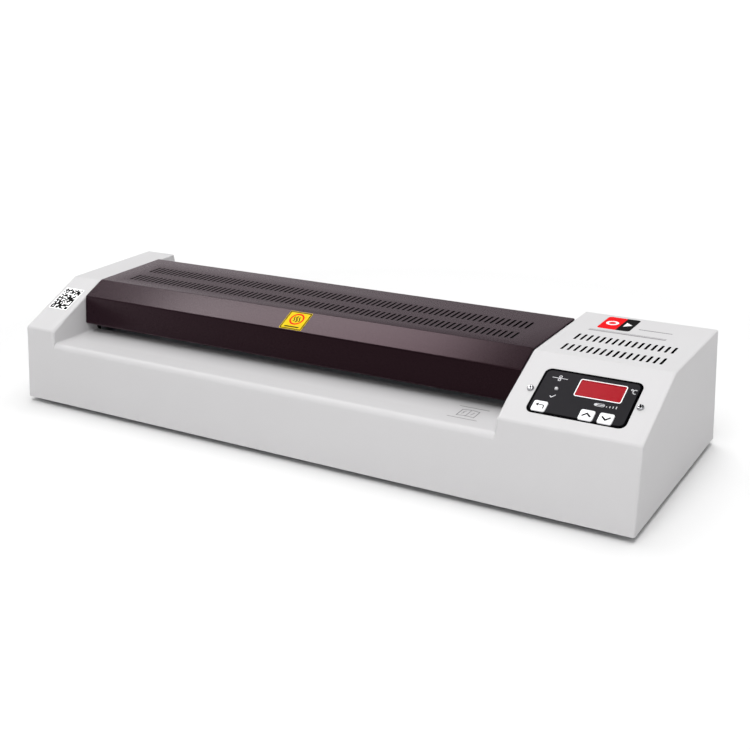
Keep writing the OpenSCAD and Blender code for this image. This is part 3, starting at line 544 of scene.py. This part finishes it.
def casing_solid():
    """The closed outer skin: two housings and the low tray between them, with every edge rounded by its own strip of faces."""
    arc_n = 8
    cap = [(y_front(0), 0), (YE, FRONT_H), (YK, CASE_H), (YT, CASE_H), (y_rear(0), 0)]
    tray = [(y_front(0), 0), (y_front(CREST), CREST), (-74, TRAY_H), (-37, TRAY_H + 0.6), (62, TRAY_H + 0.6), (80, TRAY_H), (y_rear(CREST), CREST), (y_rear(0), 0)]
    tp, td = profile(tray, [0, 6.5, 60, 0, 0, 40, 5, 0], 14)
    cp, cd = profile(cap, [0, 4, 6, 2.5, 0], 12)
    # both outlines share the front and rear faces up to the crest: the first and last shared points
    def on_line(p, a, b):
        return abs((b[0] - a[0]) * (p[1] - a[1]) - (b[1] - a[1]) * (p[0] - a[0])) / math.dist(a, b) < 1e-6
    f0 = max(i for i, p in enumerate(tp) if on_line(p, cap[0], cap[1]) and i < len(tp) / 2)
    f1 = min(i for i, p in enumerate(tp) if on_line(p, cap[3], cap[4]) and i > len(tp) / 2)
    start, stop = tp[f0], tp[f1]
    cap_up = [(p, d) for p, d in zip(cp, cd) if (p[0] < 0 and p[1] > start[1] + 0.4) or (p[0] >= 0 and p[1] > stop[1] + 0.4)]
    # finer steps just above the crest, where the upright corner's rounding grows
    n_front = cd[1]
    n_rear = cd[-2]
    fine_f = [((y_front(start[1] + h), start[1] + h), n_front) for h in (0.7, 1.5, 2.4, 3.4, 4.6, 6.0, 7.6) if start[1] + h < FRONT_H - 5]
    fine_r = [((y_rear(stop[1] + h), stop[1] + h), n_rear) for h in (7.6, 6.0, 4.6, 3.4, 2.4, 1.5, 0.7)]
    mid = [(p, d) for p, d in cap_up if not (p[0] < YE + 1 and p[1] < start[1] + 8.4 and p[1] < FRONT_H - 5) and not (p[0] > YT and p[1] < stop[1] + 8.4)]
    upper = [(start, n_front)] + fine_f + mid + fine_r + [(stop, n_rear)]
    lower_tray = list(zip(tp, td))[f0:f1 + 1]

    bm = bmesh.new()
    cache = {}

    def v(x, y, z):
        key = (round(x, 5), round(y, 5), round(z, 5))
        if key not in cache:
            cache[key] = bm.verts.new((x, y, z))
        return cache[key]

    def face(ring):
        clean = []
        for q in ring:
            if not clean or q is not clean[-1]:
                clean.append(q)
        if len(clean) > 1 and clean[0] is clean[-1]:
            clean.pop()
        if len(set(clean)) >= 3:
            bm.faces.new(clean)

    def gap_f(h):
        return 6.5 - math.sqrt(max(0.0, 6.5 ** 2 - min(h, 6.5) ** 2)) if h < 6.5 else 6.5 + (h - 6.5)

    def inward(d, p):
        # level at the bottom edge, so that the underside stays flat, and square to the outline from 20 mm up
        t = min(1.0, p[1] / 20)
        return (-d[0], -d[1] * t)

    def outer_r(p):
        if p[1] < FRONT_H - 4 and p[0] < 0 or p[0] > YT - 1 and p[1] < CASE_H - 4:
            return 2.4
        return 1.6 if p[0] < YT - 8 else 2.0

    def inner_r(p):
        if p[0] < YE + 6 and p[1] < FRONT_H + 2:
            h = p[1] - start[1]
            return min(3.4, 0.35 * gap_f(h))
        if p[0] > YT - 2:
            return min(1.6, 0.35 * gap_f(p[1] - stop[1]))
        t = min(1.0, (p[0] - (YE + 6)) / 14) if p[0] < YE + 20 else 1.0
        return 3.4 + (1.6 - 3.4) * t

    def tray_r(i):
        p = lower_tray[i][0]
        if p[0] < 0:
            return min(2.6, 0.25 * (p[0] - y_front(p[1])))
        return min(2.0, 0.25 * (y_rear(p[1]) - p[0]))

    steps = [math.radians(90 * k / arc_n) for k in range(arc_n + 1)]

    def convex(p, d, r, x, s):
        """The strip's points across a housing's edge, from the end plane x to the housing's skin; s is the way into the housing."""
        e = inward(d, p)
        return [v(x + s * r * (1 - math.cos(t)), p[0] + e[0] * r * (1 - math.sin(t)), p[1] + e[1] * r * (1 - math.sin(t))) for t in steps]

    def concave(p, d, r, x, s):
        """The strip's points across the fillet between the end wall x and the tray; s is the way out over the tray."""
        return [v(x + s * r * (1 - math.cos(t)), p[0] + d[0] * r * (1 - math.sin(t)), p[1] + d[1] * r * (1 - math.sin(t))) for t in steps]

    def strips(rows):
        for a, b in zip(rows, rows[1:]):
            for k in range(len(a) - 1):
                face([a[k], a[k + 1], b[k + 1], b[k]])

    outer_line = [(p, d) for p, d in zip(cp, cd)]
    out_rows = {}
    for x, s in ((X0, 1), (X1, -1)):
        rows = [convex(p, d, outer_r(p), x, s) for p, d in outer_line]
        strips(rows)
        face([r[0] for r in rows])
        out_rows[x] = rows
    in_rows, tray_rows = {}, {}
    for x, s in ((XC, -1), (XH, 1)):
        rows = [convex(p, d, inner_r(p) if 0 < i < len(upper) - 1 else 0.0, x, s) for i, (p, d) in enumerate(upper)]
        strips(rows)
        low = [concave(p, d, tray_r(i) if 0 < i < len(lower_tray) - 1 else 0.0, x, -s) for i, (p, d) in enumerate(lower_tray)]
        strips(low)
        face([r[0] for r in rows] + [r[0] for r in reversed(low)])
        in_rows[x], tray_rows[x] = rows, low
    # the tray's surface
    a, b = [r[-1] for r in tray_rows[XC]], [r[-1] for r in tray_rows[XH]]
    for i in range(len(a) - 1):
        face([a[i], a[i + 1], b[i + 1], b[i]])
    # each housing's skin above the crest, between its outer and inner strips
    for xo, xi in ((X0, XC), (X1, XH)):
        o = [(p, r[-1]) for (p, _), r in zip(outer_line, out_rows[xo])]
        o_up = [(p, q) for p, q in o if (p[0] < 0 and p[1] >= start[1] + 9) or (p[0] >= 0 and p[1] >= stop[1] + 9)]
        i_up = [(p, r[-1]) for (p, _), r in zip(upper, in_rows[xi])]
        same = {(round(p[0], 4), round(p[1], 4)): q for p, q in i_up}
        pairs = [(q, same[(round(p[0], 4), round(p[1], 4))]) for p, q in o_up if (round(p[0], 4), round(p[1], 4)) in same]
        for (qa, ia), (qb, ib) in zip(pairs, pairs[1:]):
            face([qa, qb, ib, ia])
        # front and rear faces of the housing between the crest and the first shared pair
        first_o = [q for p, q in o].index(pairs[0][0])
        last_o = [q for p, q in o].index(pairs[-1][0])
        first_i = [q for p, q in i_up].index(pairs[0][1])
        last_i = [q for p, q in i_up].index(pairs[-1][1])
        sides[xo] = ([q for _, q in o[:first_o + 1]], [q for _, q in i_up[:first_i + 1]], [q for _, q in o[last_o:]], [q for _, q in i_up[last_i:]])
    # the front face runs the whole width below the crest
    lf, li, _, _ = sides[X0]
    rf, ri, _, _ = sides[X1]
    face(lf + list(reversed(li)) + ri + list(reversed(rf)))
    _, _, lf, li = sides[X0]
    _, _, rf, ri = sides[X1]
    face(list(reversed(lf)) + li + list(reversed(ri)) + rf)
    # underside
    low_l, low_r = out_rows[X0], out_rows[X1]
    face(low_l[0] + list(reversed(low_r[0])) + low_r[-1] + list(reversed(low_l[-1])))
    return from_bmesh("casing", bm, UP)


sides = {}
casing = casing_solid()
hollow = prism("t4", rounded(inset(CAP_PTS, WALL), [0, 1.5, 2.5, 0, 0], 3), X0 + WALL, X1 - WALL, ALONG_X)
boolean(hollow, prism("t5", above(inset(TRAY_PTS, WALL)), XC - WALL, XH + WALL, ALONG_X))
boolean(hollow, prism("t5b", rect(X0 + WALL - 0.01, YF - 1, X1 - WALL + 0.01, YR + 1, 5, 8), -20, CASE_H + 10, UP), "INTERSECT")
paint(casing, "white")
# the casing's inner faces take the near-black painted shade from the hollow cutter
paint(hollow, "inside")
boolean(casing, hollow)
boolean(casing, prism("t6", rect(XC - WALL - 1, -36, XH + WALL + 1, 61.6), TRAY_H - 10, 101, UP))
vents = slot_row(16, XH + 19.9, 5.74, -11.8, 4.0, 2.2, CASE_H - 5, CASE_H + 5) + slot_row(16, XH + 19.9, 5.74, 17.3, 33.1, 2.2, CASE_H - 5, CASE_H + 5)
# the vent walls take the near-black painted shade from the cutter
vent_cutter = paint(prisms("t8", vents, UP), "inside")
boolean(casing, vent_cutter)
boolean(casing, prism("t9", rect(PX0 - 0.1, PS0 - 0.1, PX1 + 0.1, PS1 + 0.1, 6.1, 10), -0.8, 3, on_slope()))
holes = [(rect(WIN[0] + 1.2, WIN[1] + 1.2, WIN[2] - 1.2, WIN[3] - 1.2), -5, 1), (circle(LED, 1.75), -5, 1)]
for c in (REV_C, UP_C, DN_C):
    holes.append((rect(c[0] - BTN[0] / 2 - 0.3, c[1] - BTN[1] / 2 - 0.3, c[0] + BTN[0] / 2 + 0.3, c[1] + BTN[1] / 2 + 0.3), -5, 1))
for x in (15.4, 108.4):
    holes.append((circle((x, 38), 1.6, 24), -5, 3))
boolean(casing, prisms("t10", holes, on_slope()))
boolean(casing, prism("t11", rect(-13.6, -9.9, 13.6, 9.9), -5, 3, on_rear(X1 - 40, 50)))
boolean(casing, prism("t12", rect(-9.6, -6.5, 9.6, 6.5), -5, 3, on_rear(X1 - 84, 50)))
tidy(casing)


def vent_rim(mid, e):
    """A fine radius on the rims of the vents over the control housing."""
    level = all(abs(v.co.z * 1000 - CASE_H - FOOT) < 0.01 for v in e.verts)
    return 0.25 if level and XH + 15 < mid.x < X1 - 15 and -20 < mid.y < 40 else 0.0


bevel(casing, 0.25, segments=2, angle=28, weights=vent_rim)
smooth(casing, 32)
weighted(casing)
piece(casing, None, replaces=("main_casing",))

# ------------------------------------------------------------------ folded top cover
COVER = [(-44.5, 68.5), (-52.3, 68.5), (-47.7, 97.8), (-22.4, 109.3), (69.7, 109.3), (74.5, 68.5), (66.7, 68.5)]
T = 1.2
outline = bent(COVER, 1.2 + T) + list(reversed(bent(beside(COVER, T), 1.2)))
cover = prism("cover", outline, XC + 0.6, XH - 0.6, ALONG_X)
bevel(cover, 0.35, segments=3, angle=50)
x_first = XM - 77 * 5.73 / 2
cuts = slot_row(78, x_first, 5.73, -8.3, 9.7, 2.3, 106, 112) + slot_row(78, x_first, 5.73, 21.9, 40.9, 2.3, 106, 112)
paint(cover, "brown")
# the slot walls take the near-black painted shade from the cutters
boolean(cover, paint(prisms("t13", cuts, UP), "inside"))
for x in (FL1 + 8, FR0 - 8):
    for h in (12, 28):
        place = Matrix.Translation((x, 74.5 - 4.8 * h / 40.8, 68.5 + h + FOOT)) @ Matrix.Rotation(math.atan(4.8 / 40.8), 4, "X") @ Matrix.Rotation(math.pi, 4, "Z") @ Matrix.Rotation(math.pi / 2, 4, "X")
        boolean(cover, prism("t14", circle((0, 0), 1.7, 24), -4, 4, place))
smooth(cover, 32)
piece(cover, None, replaces=("top_cover",))

# ------------------------------------------------------------------ flat graphics as thin solids
def add_ring(bm, outer, inner, z0, z1):
    n = len(outer)
    rows = [[bm.verts.new((x, y, z)) for x, y in pts] for pts, z in ((outer, z0), (outer, z1), (inner, z1), (inner, z0))]
    for a in range(4):
        p, q = rows[a], rows[(a + 1) % 4]
        for i in range(n):
            bm.faces.new((p[i], p[(i + 1) % n], q[(i + 1) % n], q[i]))


def stroke(pts, w):
    """Outline of an open line of width w."""
    return beside(pts, w / 2) + list(reversed(beside(pts, -w / 2)))


def decal(name, key, place, z, fills=(), rings=(), body="chassis", thick=0.05):
    bm = bmesh.new()
    for pts in fills:
        add_prism(bm, pts, z, z + thick)
    for outer, inner in rings:
        add_ring(bm, outer, inner, z, z + thick)
    return piece(from_bmesh(name, bm, place), key, body)


def moved(pts, dx, dy, s=1.0, turn=0.0):
    c, d = math.cos(math.radians(turn)), math.sin(math.radians(turn))
    return [(dx + s * (x * c - y * d), dy + s * (x * d + y * c)) for x, y in pts]


# ------------------------------------------------------------------ control panel
P = on_slope()
bm = bmesh.new()
add_prism(bm, rect(PX0, PS0, PX1, PS1, 6, 12), -0.8, 0.5)
overlay = from_bmesh("overlay_plate", bm, P)
bevel(overlay, 0.22, segments=3, angle=50)
opening = [(rect(WIN[0], WIN[1], WIN[2], WIN[3]), -2, 2), (circle(LED, 1.75), -2, 2)]
for c in (REV_C, UP_C, DN_C):
    opening.append((rect(c[0] - BTN[0] / 2 - 0.25, c[1] - BTN[1] / 2 - 0.25, c[0] + BTN[0] / 2 + 0.25, c[1] + BTN[1] / 2 + 0.25, 1.8), -2, 2))
boolean(overlay, prisms("t15", opening, P))
smooth(overlay)
piece(overlay, "film_edge", replaces=("panel_overlay",))
bm = bmesh.new()
add_prism(bm, rect(PX0 + 2.2, PS0 + 2.2, PX1 - 2.2, PS1 - 2.2, 4.4, 12), 0.5, 0.54)
field = from_bmesh("overlay_field", bm, P)
opening = [(rect(WIN[0] - 1.0, WIN[1] - 1.0, WIN[2] + 1.0, WIN[3] + 1.0, 1.6), -2, 2), (circle(LED, 1.9), -2, 2)]
for c in (REV_C, UP_C, DN_C):
    opening.append((rect(c[0] - BTN[0] / 2 - 0.35, c[1] - BTN[1] / 2 - 0.35, c[0] + BTN[0] / 2 + 0.35, c[1] + BTN[1] / 2 + 0.35, 1.9), -2, 2))
boolean(field, prisms("t16", opening, P))
piece(field, "film")
decal("window_outline", "ink_white", P, 0.54, rings=[(rect(WIN[0] - 1.35, WIN[1] - 1.45, WIN[2] + 1.35, WIN[3] + 1.6, 2.0), rect(WIN[0] - 0.6, WIN[1] - 0.7, WIN[2] + 0.6, WIN[3] + 0.85, 1.4))], thick=0.06)
decal("window_surround", "window", P, 0.5, rings=[(rect(WIN[0] - 0.7, WIN[1] - 0.8, WIN[2] + 0.7, WIN[3] + 0.95, 1.5), rect(WIN[0] + 0.1, WIN[1] + 0.1, WIN[2] - 0.1, WIN[3] - 0.1, 0.3))], thick=0.05)


def key_top(name, c, node_name, body):
    ob = prism(name, rect(c[0] - BTN[0] / 2, c[1] - BTN[1] / 2, c[0] + BTN[0] / 2, c[1] + BTN[1] / 2, 1.9, 8), -4.2, 1.3, P)
    bevel(ob, 0.42, segments=4, angle=50)
    bm = bmesh.new()
    bm.from_mesh(ob.data)
    low = bmesh.new()
    add_prism(low, rect(c[0] - 7, c[1] - 6.6, c[0] + 7, c[1] + 6.6), -4.2, -3.0)
    add_prism(low, circle(c, 2, 24), -5.6, -4.2)
    me = bpy.data.meshes.new("low")
    bmesh.ops.recalc_face_normals(low, faces=low.faces)
    low.to_mesh(me)
    low.free()
    me.transform(mm(P))
    bm.from_mesh(me)
    bm.to_mesh(ob.data)
    bm.free()
    bpy.data.meshes.remove(me)
    smooth(ob)
    return piece(ob, "key", body, replaces=(node_name,))


key_top("key_reverse", REV_C, "button_reverse", "reverse_button")
key_top("key_up", UP_C, "button_up", "up_button")
key_top("key_down", DN_C, "button_down", "down_button")
chevron = [(-3.6, -1.5), (0, 1.7), (3.6, -1.5)]
decal("mark_up", "ink_black", P, 1.3, fills=[moved(stroke(chevron, 1.5), *UP_C)], body="up_button")
decal("mark_down", "ink_black", P, 1.3, fills=[moved(stroke(chevron, 1.5), DN_C[0], DN_C[1], 1, 180)], body="down_button")
hook = [(3.4, -2.2), (3.4, 0.2)] + arc((2.0, 0.2), 1.4, 0, 90, 6)[1:] + [(-1.6, 1.6)]
decal("mark_reverse", "ink_black", P, 1.3, fills=[moved(stroke(hook, 0.9), REV_C[0] + 0.2, REV_C[1] - 0.3), moved([(-4.2, 1.6), (-1.5, 3.5), (-1.5, -0.3)], REV_C[0] + 0.2, REV_C[1] - 0.3)], body="reverse_button")
# ready tick under the lamp, a roller pair above it, a thermometer between window and arrows, and the degree sign
decal("mark_tick", "ink_grey", P, 0.54, fills=[moved(stroke([(-2.0, 0.1), (-0.5, -1.4), (2.4, 1.8)], 0.7), 36.2, 33.4)])
roller = circle((0, 0), 1.35, 24)
roller_in = circle((0, 0), 0.8, 24)
decal("mark_rollers", "ink_grey", P, 0.54, fills=[rect(28.4, 53.85, 41.8, 54.35)], rings=[(moved(roller, 35.1, 55.9), moved(roller_in, 35.1, 55.9)), (moved(roller, 35.1, 52.3), moved(roller_in, 35.1, 52.3))])
decal("mark_thermometer", "ink_grey", P, 0.54, fills=[circle((73.4, 32.8), 1.35, 24), rect(74.4, 32.45, 80.4, 33.15)] + [rect(82.4 + 2.6 * i, 31.6, 83.1 + 2.6 * i, 32.8 + 0.5 * i) for i in range(4)],
      rings=[(rect(72.6, 31.2, 80.9, 34.4, 1.55), rect(73.0, 31.6, 80.5, 34.0, 1.15))])
decal("mark_degree", "ink_grey", P, 0.54, rings=[(circle((96.2, 54.6), 0.95, 24), circle((96.2, 54.6), 0.5, 24))],
      fills=[stroke([(99.1 + 1.75 * math.cos(math.radians(a)), 52.8 + 2.2 * math.sin(math.radians(a))) for a in range(48, 318, 15)], 0.62)])

# cross-recessed pan heads beside the panel
heads = []
for c in ((15.4, 38), (108.4, 38)):
    heads.append((circle(c, 3.0, 40), 0.0, 2.0))
screws = prisms("panel_screw_pair", heads, P)


def screw_rim(mid, e):
    q = P.inverted() @ mid
    r = min(math.hypot(q.x - 15.4, q.y - 38), math.hypot(q.x - 108.4, q.y - 38))
    return 1.25 if q.z > 1.9 and r > 2.5 else 0.0


bevel(screws, 1.25, segments=7, angle=50, weights=screw_rim)
cross = []
for c in ((15.4, 38), (108.4, 38)):
    for a in (20, 110):
        cross.append((moved(rect(-2.2, -0.55, 2.2, 0.55), c[0], c[1], 1, a), 0.7, 3))
paint(screws, "screw")
# the cross recesses take the near-black painted shade from the cutters
boolean(screws, paint(prisms("t17", cross[0::2], P), "inside"))
boolean(screws, paint(prisms("t18", cross[1::2], P), "inside"))
smooth(screws, 35)
piece(screws, None, replaces=("panel_screws",))
piece(prisms("panel_screw_shanks", [(circle(c, 1.5, 24), -12.5, 0.0) for c in ((15.4, 38), (108.4, 38))], P), "screw")

# ------------------------------------------------------------------ badge and stripe on the housing's top
top = Matrix.Translation((0, 0, CASE_H + FOOT))
bx, by = XH + 25.6, 55.4
decal("badge_red", "ink_red", top, 0.0, fills=[rounded([(bx, by), (bx, by + 34), (bx + 17.6, by + 34), (bx + 17.6, by)], [3, 3, 0, 0], 8)], thick=0.1)
decal("badge_black", "ink_black", top, 0.0, fills=[rounded([(bx + 17.6, by), (bx + 17.6, by + 34), (bx + 30, by + 34), (bx + 30, by)], [0, 0, 3, 3], 8)], thick=0.1)
decal("badge_mark", "ink_white", top, 0.1, fills=[[(bx + 20.6, by + 11.2), (bx + 20.6, by + 22.8), (bx + 27.4, by + 17)]],
      rings=[(circle((bx + 8.9, by + 17), 5.8, 40), circle((bx + 8.9, by + 17), 3.4, 40))])
decal("stripe", "ink_dim", top, 0.0, fills=[rect(bx - 4, by - 9.2, bx + 66, by - 7.6), rect(bx - 4, by - 6.2, bx + 66, by - 5.5), rect(bx + 36, by + 9.0, bx + 66, by + 10.4)], thick=0.04)

# ------------------------------------------------------------------ stickers
C = Matrix.Translation((XM, -47.7, 97.8 + FOOT)) @ Matrix.Rotation(math.atan(11.5 / 25.3), 4, "X") @ Matrix.Translation((-1.2, 1.6, 0))
caution = prism("caution_sticker", rect(0, 0, 25, 24.6, 1.0), 0, 0.2, C)
piece(caution, "ink_yellow", replaces=("caution_label",))
decal("caution_border", "ink_black", C, 0.2, rings=[(rect(0.5, 0.5, 24.5, 24.1, 0.8), rect(1.5, 1.5, 23.5, 23.1, 0.5))])
decal("caution_ring", "ink_red", C, 0.2, rings=[(circle((12.5, 14.3), 7.6, 40), circle((12.5, 14.3), 5.9, 40))])
wave = [(0, -3.6), (1.1, -1.8), (0, 0), (-1.1, 1.8), (0, 3.6)]
decal("caution_heat", "ink_black", C, 0.2, fills=[moved(stroke(wave, 1.1), 9.6 + 2.9 * i, 14.3, (0.85, 1.1, 0.85)[i]) for i in range(3)] + [rect(4.5, 3.0, 20.5, 4.4)])

L = on_slope(X0) @ Matrix.Translation((4.6, 31.8, 0))
code = prism("code_sticker", rect(0, 0, 25.2, 32.2, 0.8), 0, 0.2, L)
piece(code, "paper", replaces=("code_label",))
cells, nx, ny = [], 13, 17
state = 11
for j in range(ny):
    i = 0
    while i < nx:
        run = 0
        while i + run < nx:
            state = (state * 1103515245 + 12345) % 2147483648
            if (state >> 18) % 16 >= 11:
                break
            run += 1
        if run:
            cells.append(rect(0.9 + i * 1.8, 0.9 + j * 1.788, 0.9 + (i + run) * 1.8, 0.9 + (j + 1) * 1.788 - 0.02))
        i += run + 1
decal("code_cells", "ink_black", L, 0.2, fills=cells, thick=0.03)

# ------------------------------------------------------------------ open-book pictogram on the tray
bxc, byc = 166.6, -67.6
tray_line = sorted(q for q in profile(TRAY_PTS[1:-1], TRAY_R[1:-1], 14)[0])


def tray_height(y):
    for a, b in zip(tray_line, tray_line[1:]):
        if a[0] <= y <= b[0]:
            return a[1] + (b[1] - a[1]) * (y - a[0]) / max(1e-9, b[0] - a[0])
    return TRAY_H


cover_l = [(-8.5, -6.5), (-8.5, 6.8), (-1.2, 8.2), (0, 7.4), (1.2, 8.2), (8.5, 6.8), (8.5, -6.5), (1.2, -5.2), (0, -6.0), (-1.2, -5.2)]
book = decal("manual_book", "ink_dim", Matrix.Translation((bxc, byc, FOOT)), 0.0,
             fills=[rect(-0.3, -5.6, 0.3, 7.4)] + [stroke(w, 0.7) for w in (((-5.6, -1.8), (-4.2, 0.4), (-5.2, 2.4), (-3.6, 4.4)), ((3.2, -2.0), (4.6, 3.6)))] + [rect(-14.0, 12.4, 14.0, 13.2), rect(-14.0, -12.4, 14.0, -11.6)],
             rings=[(cover_l, inset(cover_l, 0.75))], thick=0.05)
for v in book.data.vertices:
    v.co.z += (tray_height(v.co.y * 1000) + 0.04) / 1000

# ------------------------------------------------------------------ carried-over nodes
KEYS = {
    "bottom_pan": "zinc", "left_side_frame": "zinc", "right_side_frame": "zinc", "tie_bars": "steel", "lower_heat_shoe": "aluminium", "upper_heat_shoe": "aluminium",
    # the heat shield gets the near-black painted shade steel
    "mica_heaters": "mica", "heat_sensors": "ceramic", "heat_shield": "dark_shield_shade", "lower_pouch_guide": "steel", "upper_pouch_guide": "steel", "exit_guide": "steel",
    "lower_bushings": "bronze", "front_bearing_blocks": "black", "rear_bearing_blocks": "black", "front_pressure_springs": "steel", "rear_pressure_springs": "steel",
    "spring_keepers": "zinc", "motor_bracket": "zinc", "gear_motor": "zinc", "idler_shaft": "steel", "power_board": "board", "board_components": "parts",
    "display_board": "board", "digit_display": "digits", "tact_switches": "black", "ready_led": "lens", "panel_overlay": "film", "display_window": "window",
    "panel_screws": "screw", "power_inlet": "black", "inlet_pins": "brass", "switch_housing": "black", "rubber_feet": "foot", "underside_screws": "screw",
    "frame_screws": "screw", "cover_screws": "screw", "caution_label": "ink_yellow", "code_label": "paper", "internal_wiring": "wire", "button_reverse": "key",
    "button_up": "key", "button_down": "key", "switch_rocker": "black", "idler_gear": "nylon", "motor_pinion": "nylon",
}
for r in ("lower_hot", "upper_hot", "lower_cold", "upper_cold"):
    KEYS[r + "_core"] = "steel"
    KEYS[r + "_gear"] = "nylon"
    KEYS[r + "_sleeve"] = "red_silicone" if "hot" in r else "grey_silicone"
for name, key in KEYS.items():
    paint(nodes[name], key)

# the pressure springs between the lifting bearing blocks and the fixed keepers: each pair is copied as one
# smooth-shaded mesh in place of its part
for where, blocks in (("front", "hot_carriage"), ("rear", "cold_carriage")):
    node_name = where + "_pressure_springs"
    ob = bpy.data.objects.new(where + "_spring_pair", nodes[node_name].data.copy())
    collection.objects.link(ob)
    paint(ob, "steel")
    me = ob.data
    for p in me.polygons:
        p.use_smooth = True
    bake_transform(ob)
    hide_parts(node_name)


def soften(name, width, segments=2, angle=40):
    """Rounds a carried-over solid's edges with modifiers, without changing its mesh."""
    ob = nodes[name]
    me = ob.data
    if "custom_normal" in me.attributes:
        me.attributes.remove(me.attributes["custom_normal"])
    for p in me.polygons:
        p.use_smooth = True
    weld = ob.modifiers.new("weld", "WELD")
    weld.merge_threshold = 0.000002
    mod = ob.modifiers.new("round", "BEVEL")
    mod.width, mod.segments = width / 1000, segments
    mod.limit_method, mod.angle_limit = "ANGLE", math.radians(angle)
    mod.harden_normals = True
    mod.use_clamp_overlap = True


for name, width in (("display_window", 0.15), ("power_inlet", 0.5), ("switch_housing", 0.3), ("switch_rocker", 0.4), ("rubber_feet", 0.6),
                    ("cover_screws", 0.12), ("underside_screws", 0.15), ("inlet_pins", 0.25)):
    soften(name, width)
